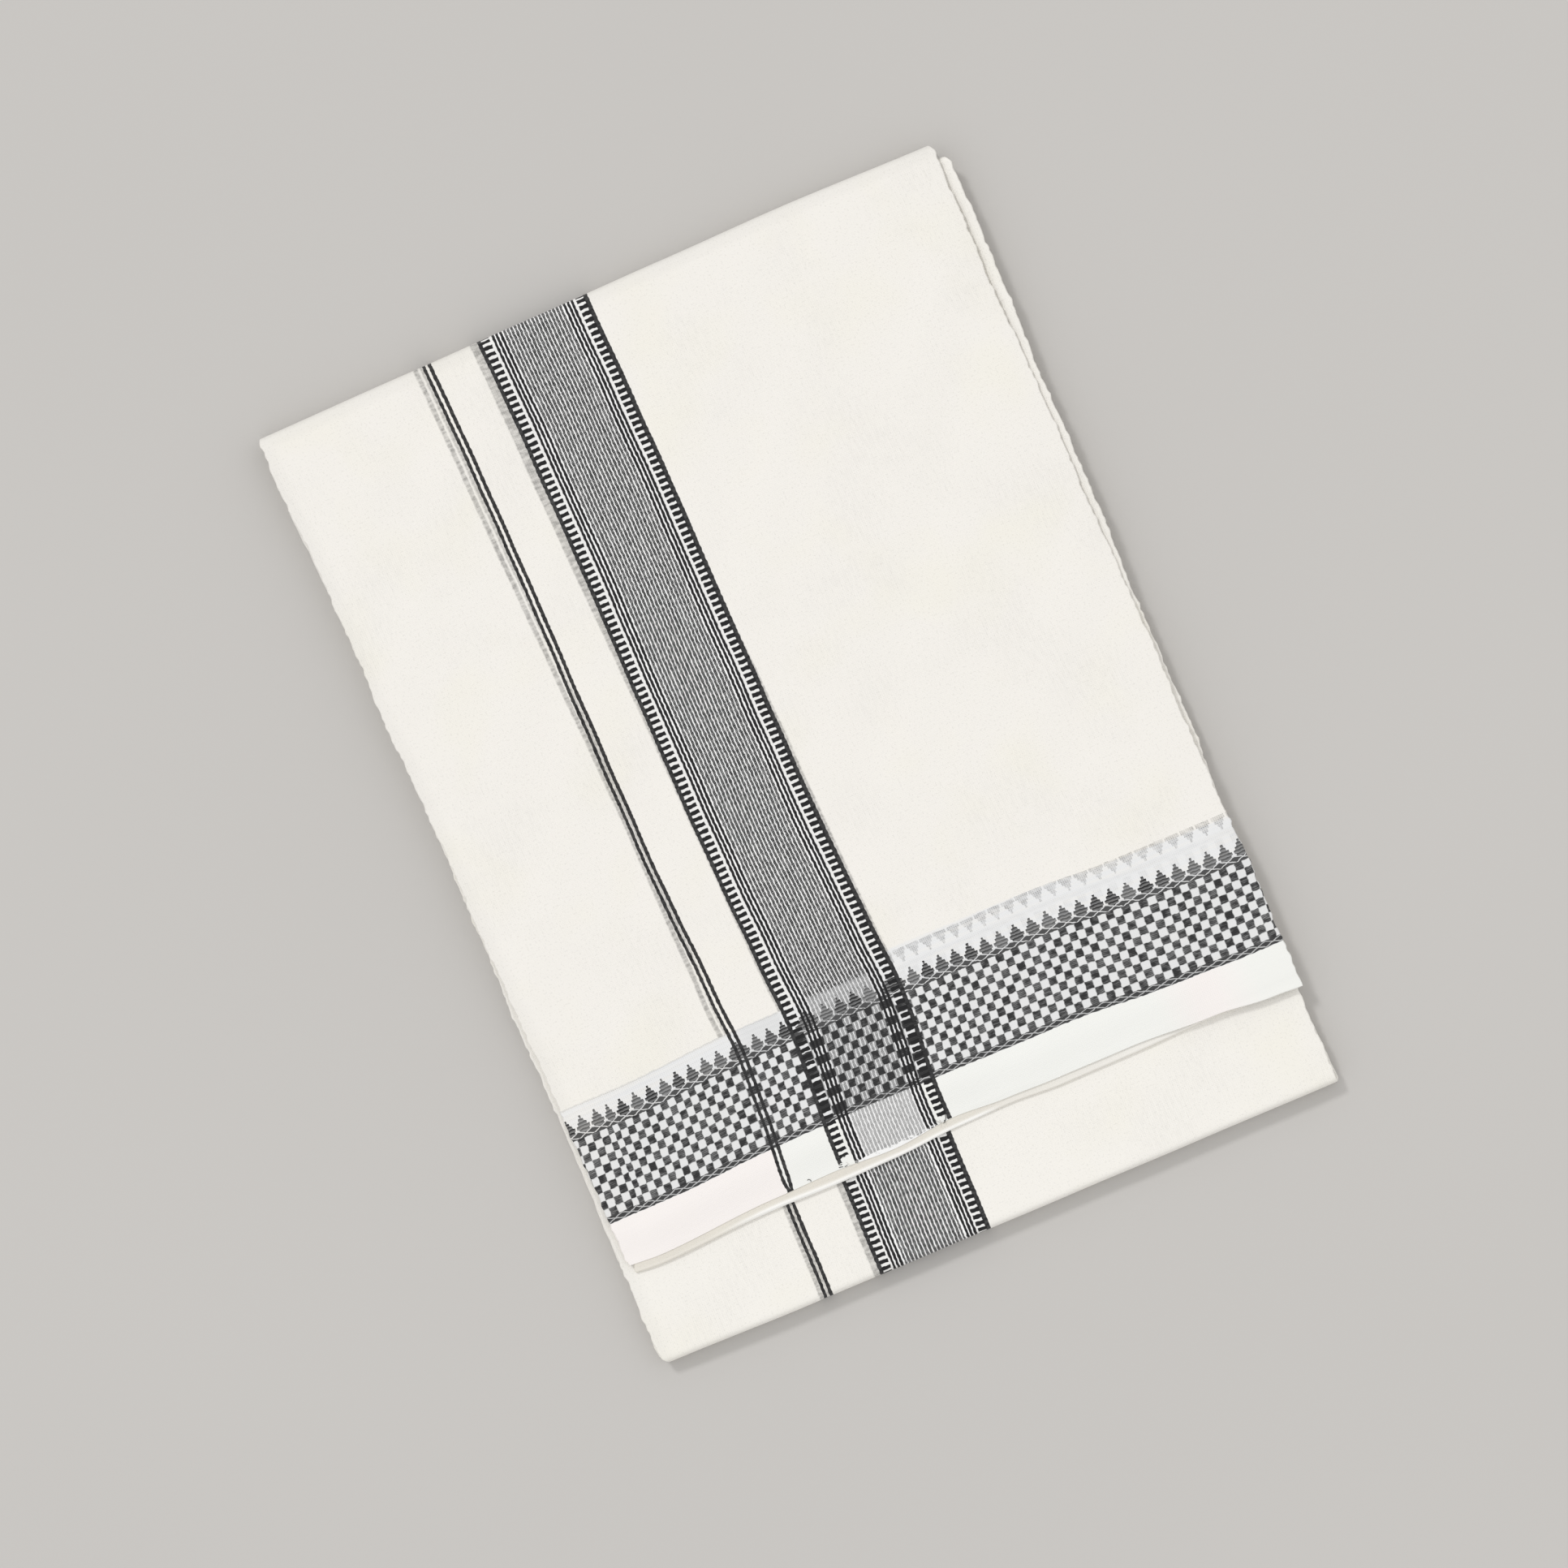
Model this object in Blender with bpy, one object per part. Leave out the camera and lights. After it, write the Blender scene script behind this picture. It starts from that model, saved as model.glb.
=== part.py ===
"""A cotton dhoti, folded for keeping: one loom-woven rectangle of cloth with no sewn pieces.

The cloth is folded in six across its width and then rolled flat along its length, with its
patterned end last, on top. From outside to inside the roll is: the end flap, round the top fold
to the underside, round the bottom fold to the base panel, and round the inner top fold into the
hidden turns. +X is the packet's right side, +Y runs to its top fold, and it rests on Z = 0.
"""
import math

import bmesh
import bpy
from mathutils import Vector

MM = 0.001

# Sizes of the folded packet
HALF_LENGTH = 148.4 * MM  # from the middle to the top or bottom fold
HALF_WIDTH = 108.1 * MM  # from the middle to the farthest side edge
PANEL_WALL = 1.1 * MM  # one panel: six layers of thin cotton pressed together
LAYER_GAP = 0.3 * MM  # air between one panel and the next
CORE_HEIGHT = 3.5 * MM  # the hidden turns of the roll
CORE_TURNS = 2  # turns of the roll that the core's edges show

# Heights of the panels' middles, from the surface up
UNDERSIDE_LEVEL = PANEL_WALL / 2
CORE_LEVEL = PANEL_WALL + LAYER_GAP + CORE_HEIGHT / 2
BASE_LEVEL = CORE_LEVEL + CORE_HEIGHT / 2 + LAYER_GAP + PANEL_WALL / 2
LOWER_FLAP_LEVEL = BASE_LEVEL + PANEL_WALL + LAYER_GAP
FLAP_LEVEL = LOWER_FLAP_LEVEL + PANEL_WALL + LAYER_GAP

# Folds
FOLD_FLATNESS = 0.72  # how far a fold bulges out, as a share of half its height
FOLD_SQUARENESS = 0.65  # below one, a fold is flatter on top and steeper at its edge
TOP_FOLD_TUCK = 14.0 * MM  # how far the flap's piece runs in under the packet
INNER_FOLD_END = math.radians(-25)  # where the inner top fold goes out of sight
INNER_FOLD_SETBACK = 4.7 * MM  # the inner top fold lies this far inside the outer one
CORE_SETBACK = 0.6 * MM  # air between the core's ends and the folds round them
CORNER_SLANT = 1.2  # how far along a corner is rounded, as a share of how far it draws in

# Mesh steps
COLUMNS = 12  # across a panel
EDGE_STEPS = 4  # round a panel's side edge
FLAP_ROWS = 32
BASE_ROWS = 30
UNDERSIDE_ROWS = 18
FOLD_STEPS = 8
CORE_ROWS = 24
RIDGE_STEPS = 4  # across each ridge of the core's edge

# Side edges of each stretch, in millimetres from the packet's middle line
FLAP_EDGES = (
    {"y": -119.0, "left": -104.8, "right": 106.6},
    {"y": -84.0, "left": -104.8, "right": 106.4},
    {"y": -60.0, "left": -105.4, "right": 106.0},
    {"y": -28.0, "left": -105.6, "right": 105.9},
    {"y": 10.0, "left": -106.0, "right": 105.8},
    {"y": 66.0, "left": -106.8, "right": 105.3},
    {"y": 113.0, "left": -107.1, "right": 104.8},
    {"y": 138.0, "left": -108.1, "right": 104.7},
    {"y": 148.0, "left": -107.9, "right": 104.9},
)
LOWER_FLAP_EDGES = (
    {"y": -119.0, "left": -103.2, "right": 105.7},
    {"y": -20.0, "left": -104.6, "right": 104.6},
    {"y": 138.0, "left": -105.6, "right": 103.6},
)
BASE_EDGES = (
    {"y": -147.0, "left": -107.3, "right": 104.9},
    {"y": -118.0, "left": -106.9, "right": 104.9},
    {"y": -86.0, "left": -106.3, "right": 105.2},
    {"y": -28.0, "left": -106.7, "right": 107.0},
    {"y": 60.0, "left": -105.4, "right": 107.7},
    {"y": 143.0, "left": -104.6, "right": 108.4},
)
UNDERSIDE_EDGES = (
    {"y": -147.0, "left": -107.3, "right": 104.9},
    {"y": 0.0, "left": -105.6, "right": 105.4},
    {"y": 148.0, "left": -107.9, "right": 104.9},
)
CORE_EDGES = (
    {"y": -145.0, "left": -106.0, "right": 104.1},
    {"y": 0.0, "left": -105.2, "right": 105.4},
    {"y": 143.0, "left": -104.0, "right": 106.6},
)

# How far each corner of the packet is drawn in, in millimetres
CORNERS = (
    {"side": "left", "way": -1, "top": 1.2, "bottom": 3.4},
    {"side": "right", "way": 1, "top": 2.2, "bottom": 0.9},
)

# Ends and folds across the packet, in millimetres: where each flap layer ends, how far its end
# stands up, and how far the two outer folds lie inside the packet's length
ENDS = (
    {"x": -108.0, "flap": -115.2, "lower": -117.4},
    {"x": -96.0, "flap": -115.9, "lower": -118.1},
    {"x": -60.0, "flap": -114.2, "lower": -116.5},
    {"x": -40.0, "flap": -113.9, "lower": -117.0},
    {"x": -22.0, "flap": -114.8, "lower": -116.9},
    {"x": -2.0, "flap": -113.2, "lower": -115.9},
    {"x": 14.0, "flap": -114.2, "lower": -115.7},
    {"x": 30.0, "flap": -114.7, "lower": -116.6},
    {"x": 52.0, "flap": -114.9, "lower": -116.6},
    {"x": 78.0, "flap": -116.2, "lower": -116.2},
    {"x": 96.0, "flap": -117.9, "lower": -116.1},
    {"x": 108.0, "flap": -118.6, "lower": -116.0},
)
ACROSS = (
    {"x": -108.0, "lift": 0.2, "top": 1.6, "bottom": 3.0},
    {"x": -60.0, "lift": 0.4, "top": 1.2, "bottom": 2.0},
    {"x": -20.0, "lift": 0.7, "top": 0.8, "bottom": 1.6},
    {"x": 20.0, "lift": 0.7, "top": 0.4, "bottom": 1.2},
    {"x": 60.0, "lift": 0.5, "top": 0.0, "bottom": 0.8},
    {"x": 108.0, "lift": 0.4, "top": 0.8, "bottom": 0.4},
)
END_LIFT_REACH = 24.0 * MM  # how far back from its end a flap layer stands up
LOWER_LIFT_SHARE = 0.35  # of the lift, that the lower layer takes

# Soft mounds and hollows of the top, in millimetres
SWELLS = (
    {"x": 45.0, "y": 55.0, "across": 60.0, "along": 80.0, "rise": 0.55},
    {"x": -70.0, "y": 60.0, "across": 35.0, "along": 90.0, "rise": 0.35},
    {"x": -26.0, "y": 10.0, "across": 22.0, "along": 110.0, "rise": -0.25},
    {"x": 60.0, "y": -75.0, "across": 50.0, "along": 35.0, "rise": 0.4},
    {"x": -60.0, "y": -85.0, "across": 45.0, "along": 35.0, "rise": 0.3},
)
EDGE_PRESS = 0.09  # share of its height that a panel loses at its side edges
EDGE_PRESS_REACH = 16.0 * MM

# Uneven side edges: two waves along each, shared by no two stretches
EDGE_WAVES = (
    {"size": 0.20, "length": 71.0},
    {"size": 0.15, "length": 33.0},
)

COTTON = (0.905, 0.892, 0.868, 1.0)


def read_column(table, key, column, at):
    """The column's value at a place along the table, eased between its rows, in metres."""
    at = min(max(at / MM, table[0][key]), table[-1][key])
    for row, after in zip(table, table[1:]):
        if at <= after[key]:
            share = (at - row[key]) / (after[key] - row[key])
            share = share * share * (3 - 2 * share)
            return (row[column] + (after[column] - row[column]) * share) * MM
    return table[-1][column] * MM


def top_fold(x):
    return HALF_LENGTH - read_column(ACROSS, "x", "top", x)


def bottom_fold(x):
    return -HALF_LENGTH + read_column(ACROSS, "x", "bottom", x)


def edge_wave(y, phase):
    waves = (row["size"] * math.sin(2 * math.pi * y / (row["length"] * MM) + phase * (i + 1))
             for i, row in enumerate(EDGE_WAVES))
    return sum(waves) * MM


def corner_round(corner, y, top_setback=0.0, bottom_setback=0.0):
    """How far a side edge draws in, close to the folds at its two ends."""
    x = corner["way"] * HALF_WIDTH
    drawn = 0.0
    for name, room in (("top", top_fold(x) - top_setback - y),
                       ("bottom", y - bottom_fold(x) - bottom_setback)):
        radius = corner[name] * MM
        near = min(max(1 - room / (radius * CORNER_SLANT), 0.0), 1.0)
        drawn += radius * (1 - math.sqrt(1 - near * near))
    return drawn


def swell(x, y):
    """How far the packet's top rises above its plain height here."""
    return sum(row["rise"] * MM * math.exp(-((x / MM - row["x"]) / row["across"]) ** 2
                                           - ((y / MM - row["y"]) / row["along"]) ** 2)
               for row in SWELLS)


def settle(x, y, z):
    """Moves a point of the plain stack to its soft height: pressed at the sides, swollen inside."""
    inward = min(max((HALF_WIDTH - abs(x)) / EDGE_PRESS_REACH, 0.0), 1.0)
    press = EDGE_PRESS * (1 - inward) ** 2
    share = z / FLAP_LEVEL
    return Vector((x, y, z * (1 - press) + swell(x, y) * share * share))


def panel_profile():
    """One panel cut across: (share across the face, reach past it, height), leftmost point first.

    The reach and the height are in halves of the panel's thickness.
    """
    faces = [(column / COLUMNS, 0.0, 1.0) for column in range(COLUMNS + 1)]
    turns = [math.pi * step / EDGE_STEPS for step in range(1, EDGE_STEPS)]
    left_edge = [(0.0, -math.sin(turn), -math.cos(turn)) for turn in turns]
    right_edge = [(1.0, math.sin(turn), math.cos(turn)) for turn in turns]
    under = [(share, 0.0, -1.0) for share, reach, height in reversed(faces)]
    ring = faces + right_edge + under + left_edge
    leftmost = ring.index(left_edge[len(left_edge) // 2])
    return ring[leftmost:] + ring[:leftmost]


def fold_round(fold, reach, low, high, angle):
    """A point on a fold's middle line, and the way out of it; reach is negative at the bottom."""
    middle, half = (low + high) / 2, (high - low) / 2
    level, upright = abs(math.cos(angle)), abs(math.sin(angle))
    facing = math.copysign(1.0, math.sin(angle))
    out = Vector((0.0, level ** (2 - FOLD_SQUARENESS) * math.copysign(half, reach),
                  upright ** (2 - FOLD_SQUARENESS) * facing * abs(reach)))
    y = fold - reach + level ** FOLD_SQUARENESS * reach
    z = middle + upright ** FOLD_SQUARENESS * facing * half
    return (y, z), out.normalized()


def fold_reach(low, high):
    return (high - low) / 2 * FOLD_FLATNESS


def end_lift(x, y, end):
    near = max(1 - (y - end) / END_LIFT_REACH, 0.0)
    return read_column(ACROSS, "x", "lift", x) * near * near


def flap_line(x):
    """The end flap's middle line: from its free end, over the top fold, to the underside."""
    end = read_column(ENDS, "x", "flap", x)
    reach = fold_reach(UNDERSIDE_LEVEL, FLAP_LEVEL)
    fold = top_fold(x) - PANEL_WALL / 2
    up = Vector((0.0, 0.0, 1.0))
    line = []
    for row in range(FLAP_ROWS):
        y = end + (fold - reach - end) * row / FLAP_ROWS
        line.append(((y, FLAP_LEVEL + end_lift(x, y, end)), up))
    for step in range(FOLD_STEPS + 1):
        angle = math.pi / 2 - math.pi * step / FOLD_STEPS
        line.append(fold_round(fold, reach, UNDERSIDE_LEVEL, FLAP_LEVEL, angle))
    line.append(((top_fold(x) - TOP_FOLD_TUCK, UNDERSIDE_LEVEL), -up))
    return line


def lower_flap_line(x):
    """The flap's lower layers, from their own end to where they go into the top fold."""
    end = read_column(ENDS, "x", "lower", x)
    stop = top_fold(x) - fold_reach(UNDERSIDE_LEVEL, FLAP_LEVEL) - PANEL_WALL
    up = Vector((0.0, 0.0, 1.0))
    line = []
    for row in range(FLAP_ROWS + 1):
        y = end + (stop - end) * row / FLAP_ROWS
        line.append(((y, LOWER_FLAP_LEVEL + end_lift(x, y, end) * LOWER_LIFT_SHARE), up))
    return line


def wrap_line(x):
    """The underside, round the bottom fold, the base panel, and into the inner top fold."""
    start = top_fold(x) - TOP_FOLD_TUCK - LAYER_GAP
    reach = fold_reach(UNDERSIDE_LEVEL, BASE_LEVEL)
    fold = bottom_fold(x) + PANEL_WALL / 2
    inner_low = 2 * CORE_LEVEL - BASE_LEVEL
    inner_reach = fold_reach(inner_low, BASE_LEVEL)
    inner_fold = top_fold(x) - INNER_FOLD_SETBACK - PANEL_WALL / 2
    up = Vector((0.0, 0.0, 1.0))
    line = []
    for row in range(UNDERSIDE_ROWS):
        y = start + (fold + reach - start) * row / UNDERSIDE_ROWS
        line.append(((y, UNDERSIDE_LEVEL), -up))
    for step in range(FOLD_STEPS + 1):
        angle = -math.pi / 2 + math.pi * step / FOLD_STEPS
        line.append(fold_round(fold, -reach, UNDERSIDE_LEVEL, BASE_LEVEL, angle))
    for row in range(1, BASE_ROWS):
        y = fold + reach + (inner_fold - inner_reach - fold - reach) * row / BASE_ROWS
        line.append(((y, BASE_LEVEL), up))
    for step in range(FOLD_STEPS + 1):
        angle = math.pi / 2 + (INNER_FOLD_END - math.pi / 2) * step / FOLD_STEPS
        line.append(fold_round(inner_fold, inner_reach, inner_low, BASE_LEVEL, angle))
    return line


def panel_point(line_at, edges_at, station, share, reach, height):
    """One point of a panel's skin, found from its middle line at that place across."""
    half = PANEL_WALL / 2
    (y, z), out = line_at((2 * share - 1) * HALF_WIDTH)[station]
    left, right = edges_at(y, z)
    x = left + half + (right - left - 2 * half) * share + reach * half
    (y, z), out = line_at(x)[station]
    place = Vector((x, y, z)) + out * (height * half)
    return settle(*place)


def close_end(mesh, ring):
    """Fills one end of a panel between its outer and its inner points."""
    count = len(ring)
    for i in range(count // 2):
        corners = [ring[i], ring[i + 1], ring[count - i - 1], ring[(count - i) % count]]
        unique = list(dict.fromkeys(corners))
        mesh.faces.new(unique)


def make_object(name, mesh, material, collection):
    bmesh.ops.recalc_face_normals(mesh, faces=mesh.faces)
    data = bpy.data.meshes.new(name)
    mesh.to_mesh(data)
    mesh.free()
    data.shade_smooth()
    data.set_sharp_from_angle(angle=math.radians(60))
    data.materials.append(material)
    made = bpy.data.objects.new(name, data)
    collection.objects.link(made)
    return made


def make_panel(name, line_at, edges_at, material, collection):
    """A folded panel: its profile swept along its middle line, with both ends closed."""
    mesh = bmesh.new()
    profile = panel_profile()
    rings = []
    for station in range(len(line_at(0.0))):
        rings.append([mesh.verts.new(panel_point(line_at, edges_at, station, share, reach, height))
                      for share, reach, height in profile])
    count = len(profile)
    for ring, after in zip(rings, rings[1:]):
        for i in range(count):
            j = (i + 1) % count
            mesh.faces.new((ring[i], ring[j], after[j], after[i]))
    close_end(mesh, rings[0])
    close_end(mesh, rings[-1])
    return make_object(name, mesh, material, collection)


def edges_of(table, phase, level, top_setback=0.0):
    """A stretch's two side edges; below its level they pass over to the underside's."""
    def edges_at(y, z):
        share = min(max((z - UNDERSIDE_LEVEL) / (level - UNDERSIDE_LEVEL), 0.0), 1.0)
        places = []
        for corner, turn in zip(CORNERS, (0.0, 2.0)):
            upper = read_column(table, "y", corner["side"], y) + edge_wave(y, phase + turn)
            under = read_column(UNDERSIDE_EDGES, "y", corner["side"], y) + edge_wave(y, turn)
            drawn_in = corner["way"] * corner_round(corner, y, top_setback)
            places.append(under + (upper - under) * share - drawn_in)
        return places
    return edges_at


def racetrack(inset):
    """The core cut along its length: (y share, end bulge, height), inset from its skin."""
    half = CORE_HEIGHT / 2 - inset
    runs = [2 * row / CORE_ROWS - 1 for row in range(CORE_ROWS + 1)]
    turns = [math.pi * step / EDGE_STEPS for step in range(1, EDGE_STEPS)]
    upper = [(share, 0.0, half) for share in runs]
    top_end = [(1.0, math.sin(turn) * half, math.cos(turn) * half) for turn in turns]
    lower = [(share, 0.0, -half) for share in reversed(runs)]
    bottom_end = [(-1.0, -math.sin(turn) * half, -math.cos(turn) * half) for turn in turns]
    ring = upper + top_end + lower + bottom_end
    middle = ring.index(bottom_end[len(bottom_end) // 2])
    return ring[middle:] + ring[:middle]


def core_point(share_across, share_along, bulge, height, inward):
    """A point of the core, inward being its depth below the crest of the edge ridges."""
    half = CORE_HEIGHT / 2
    reach = half * FOLD_FLATNESS
    x = (2 * share_across - 1) * HALF_WIDTH
    inner_fold = top_fold(x) - INNER_FOLD_SETBACK - PANEL_WALL - CORE_SETBACK
    outer_fold = bottom_fold(x) + PANEL_WALL + CORE_SETBACK
    low, high = outer_fold + reach, inner_fold - reach
    y = low + (high - low) * (share_along + 1) / 2 + bulge * FOLD_FLATNESS
    setbacks = (INNER_FOLD_SETBACK + PANEL_WALL + CORE_SETBACK, PANEL_WALL + CORE_SETBACK)
    left, right = (read_column(CORE_EDGES, "y", corner["side"], y) + edge_wave(y, phase)
                   - corner["way"] * corner_round(corner, y, *setbacks)
                   for corner, phase in zip(CORNERS, (4.0, 5.0)))
    across = left + (right - left) * share_across
    across += inward if share_across < 0.5 else -inward
    return settle(across, y, CORE_LEVEL + height)


def make_core(material, collection):
    """The hidden turns of the roll: one rounded solid whose side edges show the turns as ridges."""
    mesh = bmesh.new()
    turn = CORE_HEIGHT / 2 / CORE_TURNS
    insets = [turn * step / RIDGE_STEPS for step in range(CORE_TURNS * RIDGE_STEPS)]
    rings = []
    for side in (0.0, 1.0):
        for inset in insets:
            inward = turn * (1 - abs(math.sin(math.pi * inset / turn))) / 2
            rings.append([mesh.verts.new(core_point(side, along, bulge, height, inward))
                          for along, bulge, height in racetrack(inset)])
        if side == 0.0:
            rings.reverse()
            body = [[mesh.verts.new(core_point(column / COLUMNS, along, bulge, height, 0.0))
                     for along, bulge, height in racetrack(0.0)]
                    for column in range(1, COLUMNS)]
            rings.extend(body)
    for ring, after in zip(rings, rings[1:]):
        count = len(ring)
        for i in range(count):
            j = (i + 1) % count
            mesh.faces.new((ring[i], ring[j], after[j], after[i]))
    close_end(mesh, rings[0])
    close_end(mesh, rings[-1])
    return make_object("folded_core", mesh, material, collection)


def cotton(name):
    material = bpy.data.materials.new(name)
    material.use_nodes = True
    shader = material.node_tree.nodes["Principled BSDF"]
    shader.inputs["Base Color"].default_value = COTTON
    shader.inputs["Roughness"].default_value = 0.85
    shader.inputs["Metallic"].default_value = 0.0
    return material


def build():
    for old in list(bpy.data.objects):
        bpy.data.objects.remove(old, do_unlink=True)
    collection = bpy.data.collections.new("folded_dhoti")
    bpy.context.scene.collection.children.link(collection)
    make_panel("end_flap", flap_line, edges_of(FLAP_EDGES, 0.0, FLAP_LEVEL),
               cotton("flap_cotton"), collection)
    make_panel("lower_flap", lower_flap_line, edges_of(LOWER_FLAP_EDGES, 1.3, LOWER_FLAP_LEVEL),
               cotton("lower_flap_cotton"), collection)
    make_panel("outer_wrap", wrap_line,
               edges_of(BASE_EDGES, 2.6, BASE_LEVEL, INNER_FOLD_SETBACK),
               cotton("wrap_cotton"), collection)
    make_core(cotton("core_cotton"), collection)


build()
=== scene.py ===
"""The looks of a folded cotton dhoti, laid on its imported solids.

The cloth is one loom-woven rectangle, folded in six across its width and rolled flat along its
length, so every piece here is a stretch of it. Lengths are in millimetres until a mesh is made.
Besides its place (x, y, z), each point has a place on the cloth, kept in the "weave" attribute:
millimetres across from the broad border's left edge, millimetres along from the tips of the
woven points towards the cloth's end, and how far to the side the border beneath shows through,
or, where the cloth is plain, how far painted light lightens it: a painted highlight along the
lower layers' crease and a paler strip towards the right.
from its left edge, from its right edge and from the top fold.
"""
import math

import bpy
import numpy as np
from mathutils import Matrix, Vector


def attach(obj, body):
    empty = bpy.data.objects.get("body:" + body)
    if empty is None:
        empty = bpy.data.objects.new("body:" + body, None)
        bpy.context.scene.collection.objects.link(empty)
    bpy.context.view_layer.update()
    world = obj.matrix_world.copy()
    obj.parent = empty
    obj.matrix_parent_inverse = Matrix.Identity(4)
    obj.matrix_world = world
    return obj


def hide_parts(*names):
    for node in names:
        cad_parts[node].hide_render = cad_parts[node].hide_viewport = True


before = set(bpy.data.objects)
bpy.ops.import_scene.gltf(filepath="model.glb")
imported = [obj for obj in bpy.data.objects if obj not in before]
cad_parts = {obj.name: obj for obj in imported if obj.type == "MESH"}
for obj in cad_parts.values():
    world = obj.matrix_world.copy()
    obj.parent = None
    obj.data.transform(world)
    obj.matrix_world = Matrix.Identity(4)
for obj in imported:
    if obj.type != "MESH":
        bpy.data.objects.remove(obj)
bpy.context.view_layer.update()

MM = 0.001


def rows_of(names, *rows):
    """A table: the names of its columns, given once, then its rows."""
    return [dict(zip(names.split(), row)) for row in rows]


# --- Sizes of the folded packet, as its solids have them ---
HALF_LENGTH = 148.4
HALF_WIDTH = 108.1
WALL = 1.1
GAP = 0.3
CORE_HEIGHT = 3.5
UNDERSIDE_LEVEL = WALL / 2
CORE_LEVEL = WALL + GAP + CORE_HEIGHT / 2
BASE_LEVEL = CORE_LEVEL + CORE_HEIGHT / 2 + GAP + WALL / 2
LOWER_FLAP_LEVEL = BASE_LEVEL + WALL + GAP
FLAP_LEVEL = LOWER_FLAP_LEVEL + WALL + GAP
FOLD_FLATNESS = 0.72
TOP_FOLD_TUCK = 14.0
INNER_FOLD_END = math.radians(-25)
LOWER_FOLD_END = math.radians(-70)
INNER_FOLD_SETBACK = 4.7
CORE_SETBACK = 0.6
CORNER_SLANT = 1.2

FLAP_EDGES = rows_of("y left right",
    (-119, -104.8, 106.6),
    (-84, -104.8, 106.4),
    (-60, -105.4, 106),
    (-28, -105.6, 105.9),
    (10, -106, 105.8),
    (66, -106.8, 105.3),
    (113, -107.1, 104.8),
    (138, -108.1, 104.7),
    (148, -107.9, 104.9))
LOWER_FLAP_EDGES = rows_of("y left right",
    (-119, -103.2, 105.7),
    (-20, -104.6, 104.6),
    (138, -105.6, 103.6))
BASE_EDGES = rows_of("y left right",
    (-147, -107.3, 104.9),
    (-118, -106.9, 104.9),
    (-86, -106.3, 105.2),
    (-28, -106.7, 107),
    (60, -105.4, 107.7),
    (143, -104.6, 108.4))
UNDERSIDE_EDGES = rows_of("y left right",
    (-147, -107.3, 104.9),
    (0, -105.6, 105.4),
    (148, -107.9, 104.9))
CORE_EDGES = rows_of("y left right",
    (-145, -106, 104.1),
    (0, -105.2, 105.4),
    (143, -104, 106.6))
CORNERS = rows_of("side way top inner bottom",
    ("left", -1, 1.2, 1.2, 3.4),
    ("right", 1, 2.2, 1, 0.9))
ENDS = rows_of("x flap lower",
    (-108, -115.2, -117.4),
    (-96, -115.9, -118.1),
    (-60, -114.2, -116.5),
    (-40, -113.9, -117),
    (-22, -114.8, -116.9),
    (-2, -113.2, -115.9),
    (14, -114.2, -115.7),
    (30, -114.7, -116.6),
    (52, -114.9, -116.6),
    (78, -116.2, -116.2),
    (96, -117.9, -116.1),
    (108, -118.6, -116))
ACROSS = rows_of("x lift top bottom",
    (-108, 0.2, 1.6, 3),
    (-60, 0.4, 1.2, 2),
    (-20, 0.7, 0.8, 1.6),
    (20, 0.7, 0.4, 1.2),
    (60, 0.5, 0, 0.8),
    (108, 0.4, 0.8, 0.4))
END_LIFT_REACH = 24.0
LOWER_LIFT_SHARE = 0.35
SWELLS = rows_of("x y across along rise",
    (45, 55, 60, 80, 0.55),
    (-70, 60, 35, 90, 0.35),
    (-26, 10, 22, 110, -0.25),
    (60, -75, 50, 35, 0.4),
    (-60, -85, 45, 35, 0.3))
EDGE_PRESS = 0.09
EDGE_PRESS_REACH = 16.0
EDGE_WAVES = rows_of("size length",
    (0.20, 71),
    (0.15, 33),
    (0.12, 13.7),
    (0.11, 7.3),
    (0.07, 4.3))

# --- Finer form, which only the looks have ---
EDGE_SCALLOPS = rows_of("size length swell",  # small waves, growing and fading along the sides
    (0.13, 3.3, 23),
    (0.08, 2.45, 37))
RIGHT_ROLL = {"rise": 1.4, "columns": 2, "from": -20.0, "to": 20.0}  # the base's, beside the flap
RIPPLES = rows_of("size across along phase",
    (0.10, 61, 93, 0.4),
    (0.07, -38, 47, 2.1),
    (0.04, 23, -31, 4.4))
PANEL_COLUMNS = 110
FLAP_ROWS = 340
LOWER_FLAP_ROWS = 90
BASE_ROWS = 330
UNDERSIDE_ROWS = 90
FOLD_STEPS = 16
FOLD_SQUARENESS = 0.65  # below one, a fold is flatter on top and steeper at its edge
FREE_END = 0.3  # how far inside its end a panel's skin stops, for its rim
THIN_REACH = 9.0  # a panel grows thin towards its free end, from here
# The free ends: how thick the flap's and the lower one's are, how fully the flap's comes to rest
# on what is below it, how far the lower one is pinched to a crease that also carries a painted
# highlight, and how much painted light pales the lower one where the flap shades it
FREE_ENDS = rows_of("x flap lower rest crease pale",
    (-108, 0.3, 1.1, 1, 0.1, 0),
    (-80, 0.3, 1.2, 1, 0.15, 0),
    (-60, 0.3, 1.2, 1, 1, 0),
    (4, 0.3, 0.8, 1, 1, 0.1),
    (18, 0.3, 1.1, 0.9, 0, 0.4),
    (60, 0.3, 1.3, 0.8, 0, 0.6),
    (80, 0.5, 1.2, 0.45, 0, 0.5),
    (108, 0.7, 0.9, 0.4, 0, 0.5))
FLAP_REST_REACH = 11.0
LOWER_REST_REACH = 3.4
LOWER_ROW_SPREAD = 1.7  # above one, the lower flap's rows crowd towards its end
END_SINK = 0.06  # how far a free end presses into the layer it rests on
FOLD_LIP = {"rise": 0.3, "width": 1.1}  # the pinched crease along the lower layers' end
RIM_STEPS = 15
RIM_GROOVE = 0.16
RIM_RETURN = 4.0
LAYER_EDGES = 3  # folded edges that one panel shows at its sides
CORE_ROWS = 60
CORE_COLUMNS = 24
CORE_LAYERS = 6  # folded edges from the core's outside to its middle
LAYER_STEPS = 6
LAYER_WANDER = {"size": 0.12, "length": 29.0, "turn": 1.7}
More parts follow.
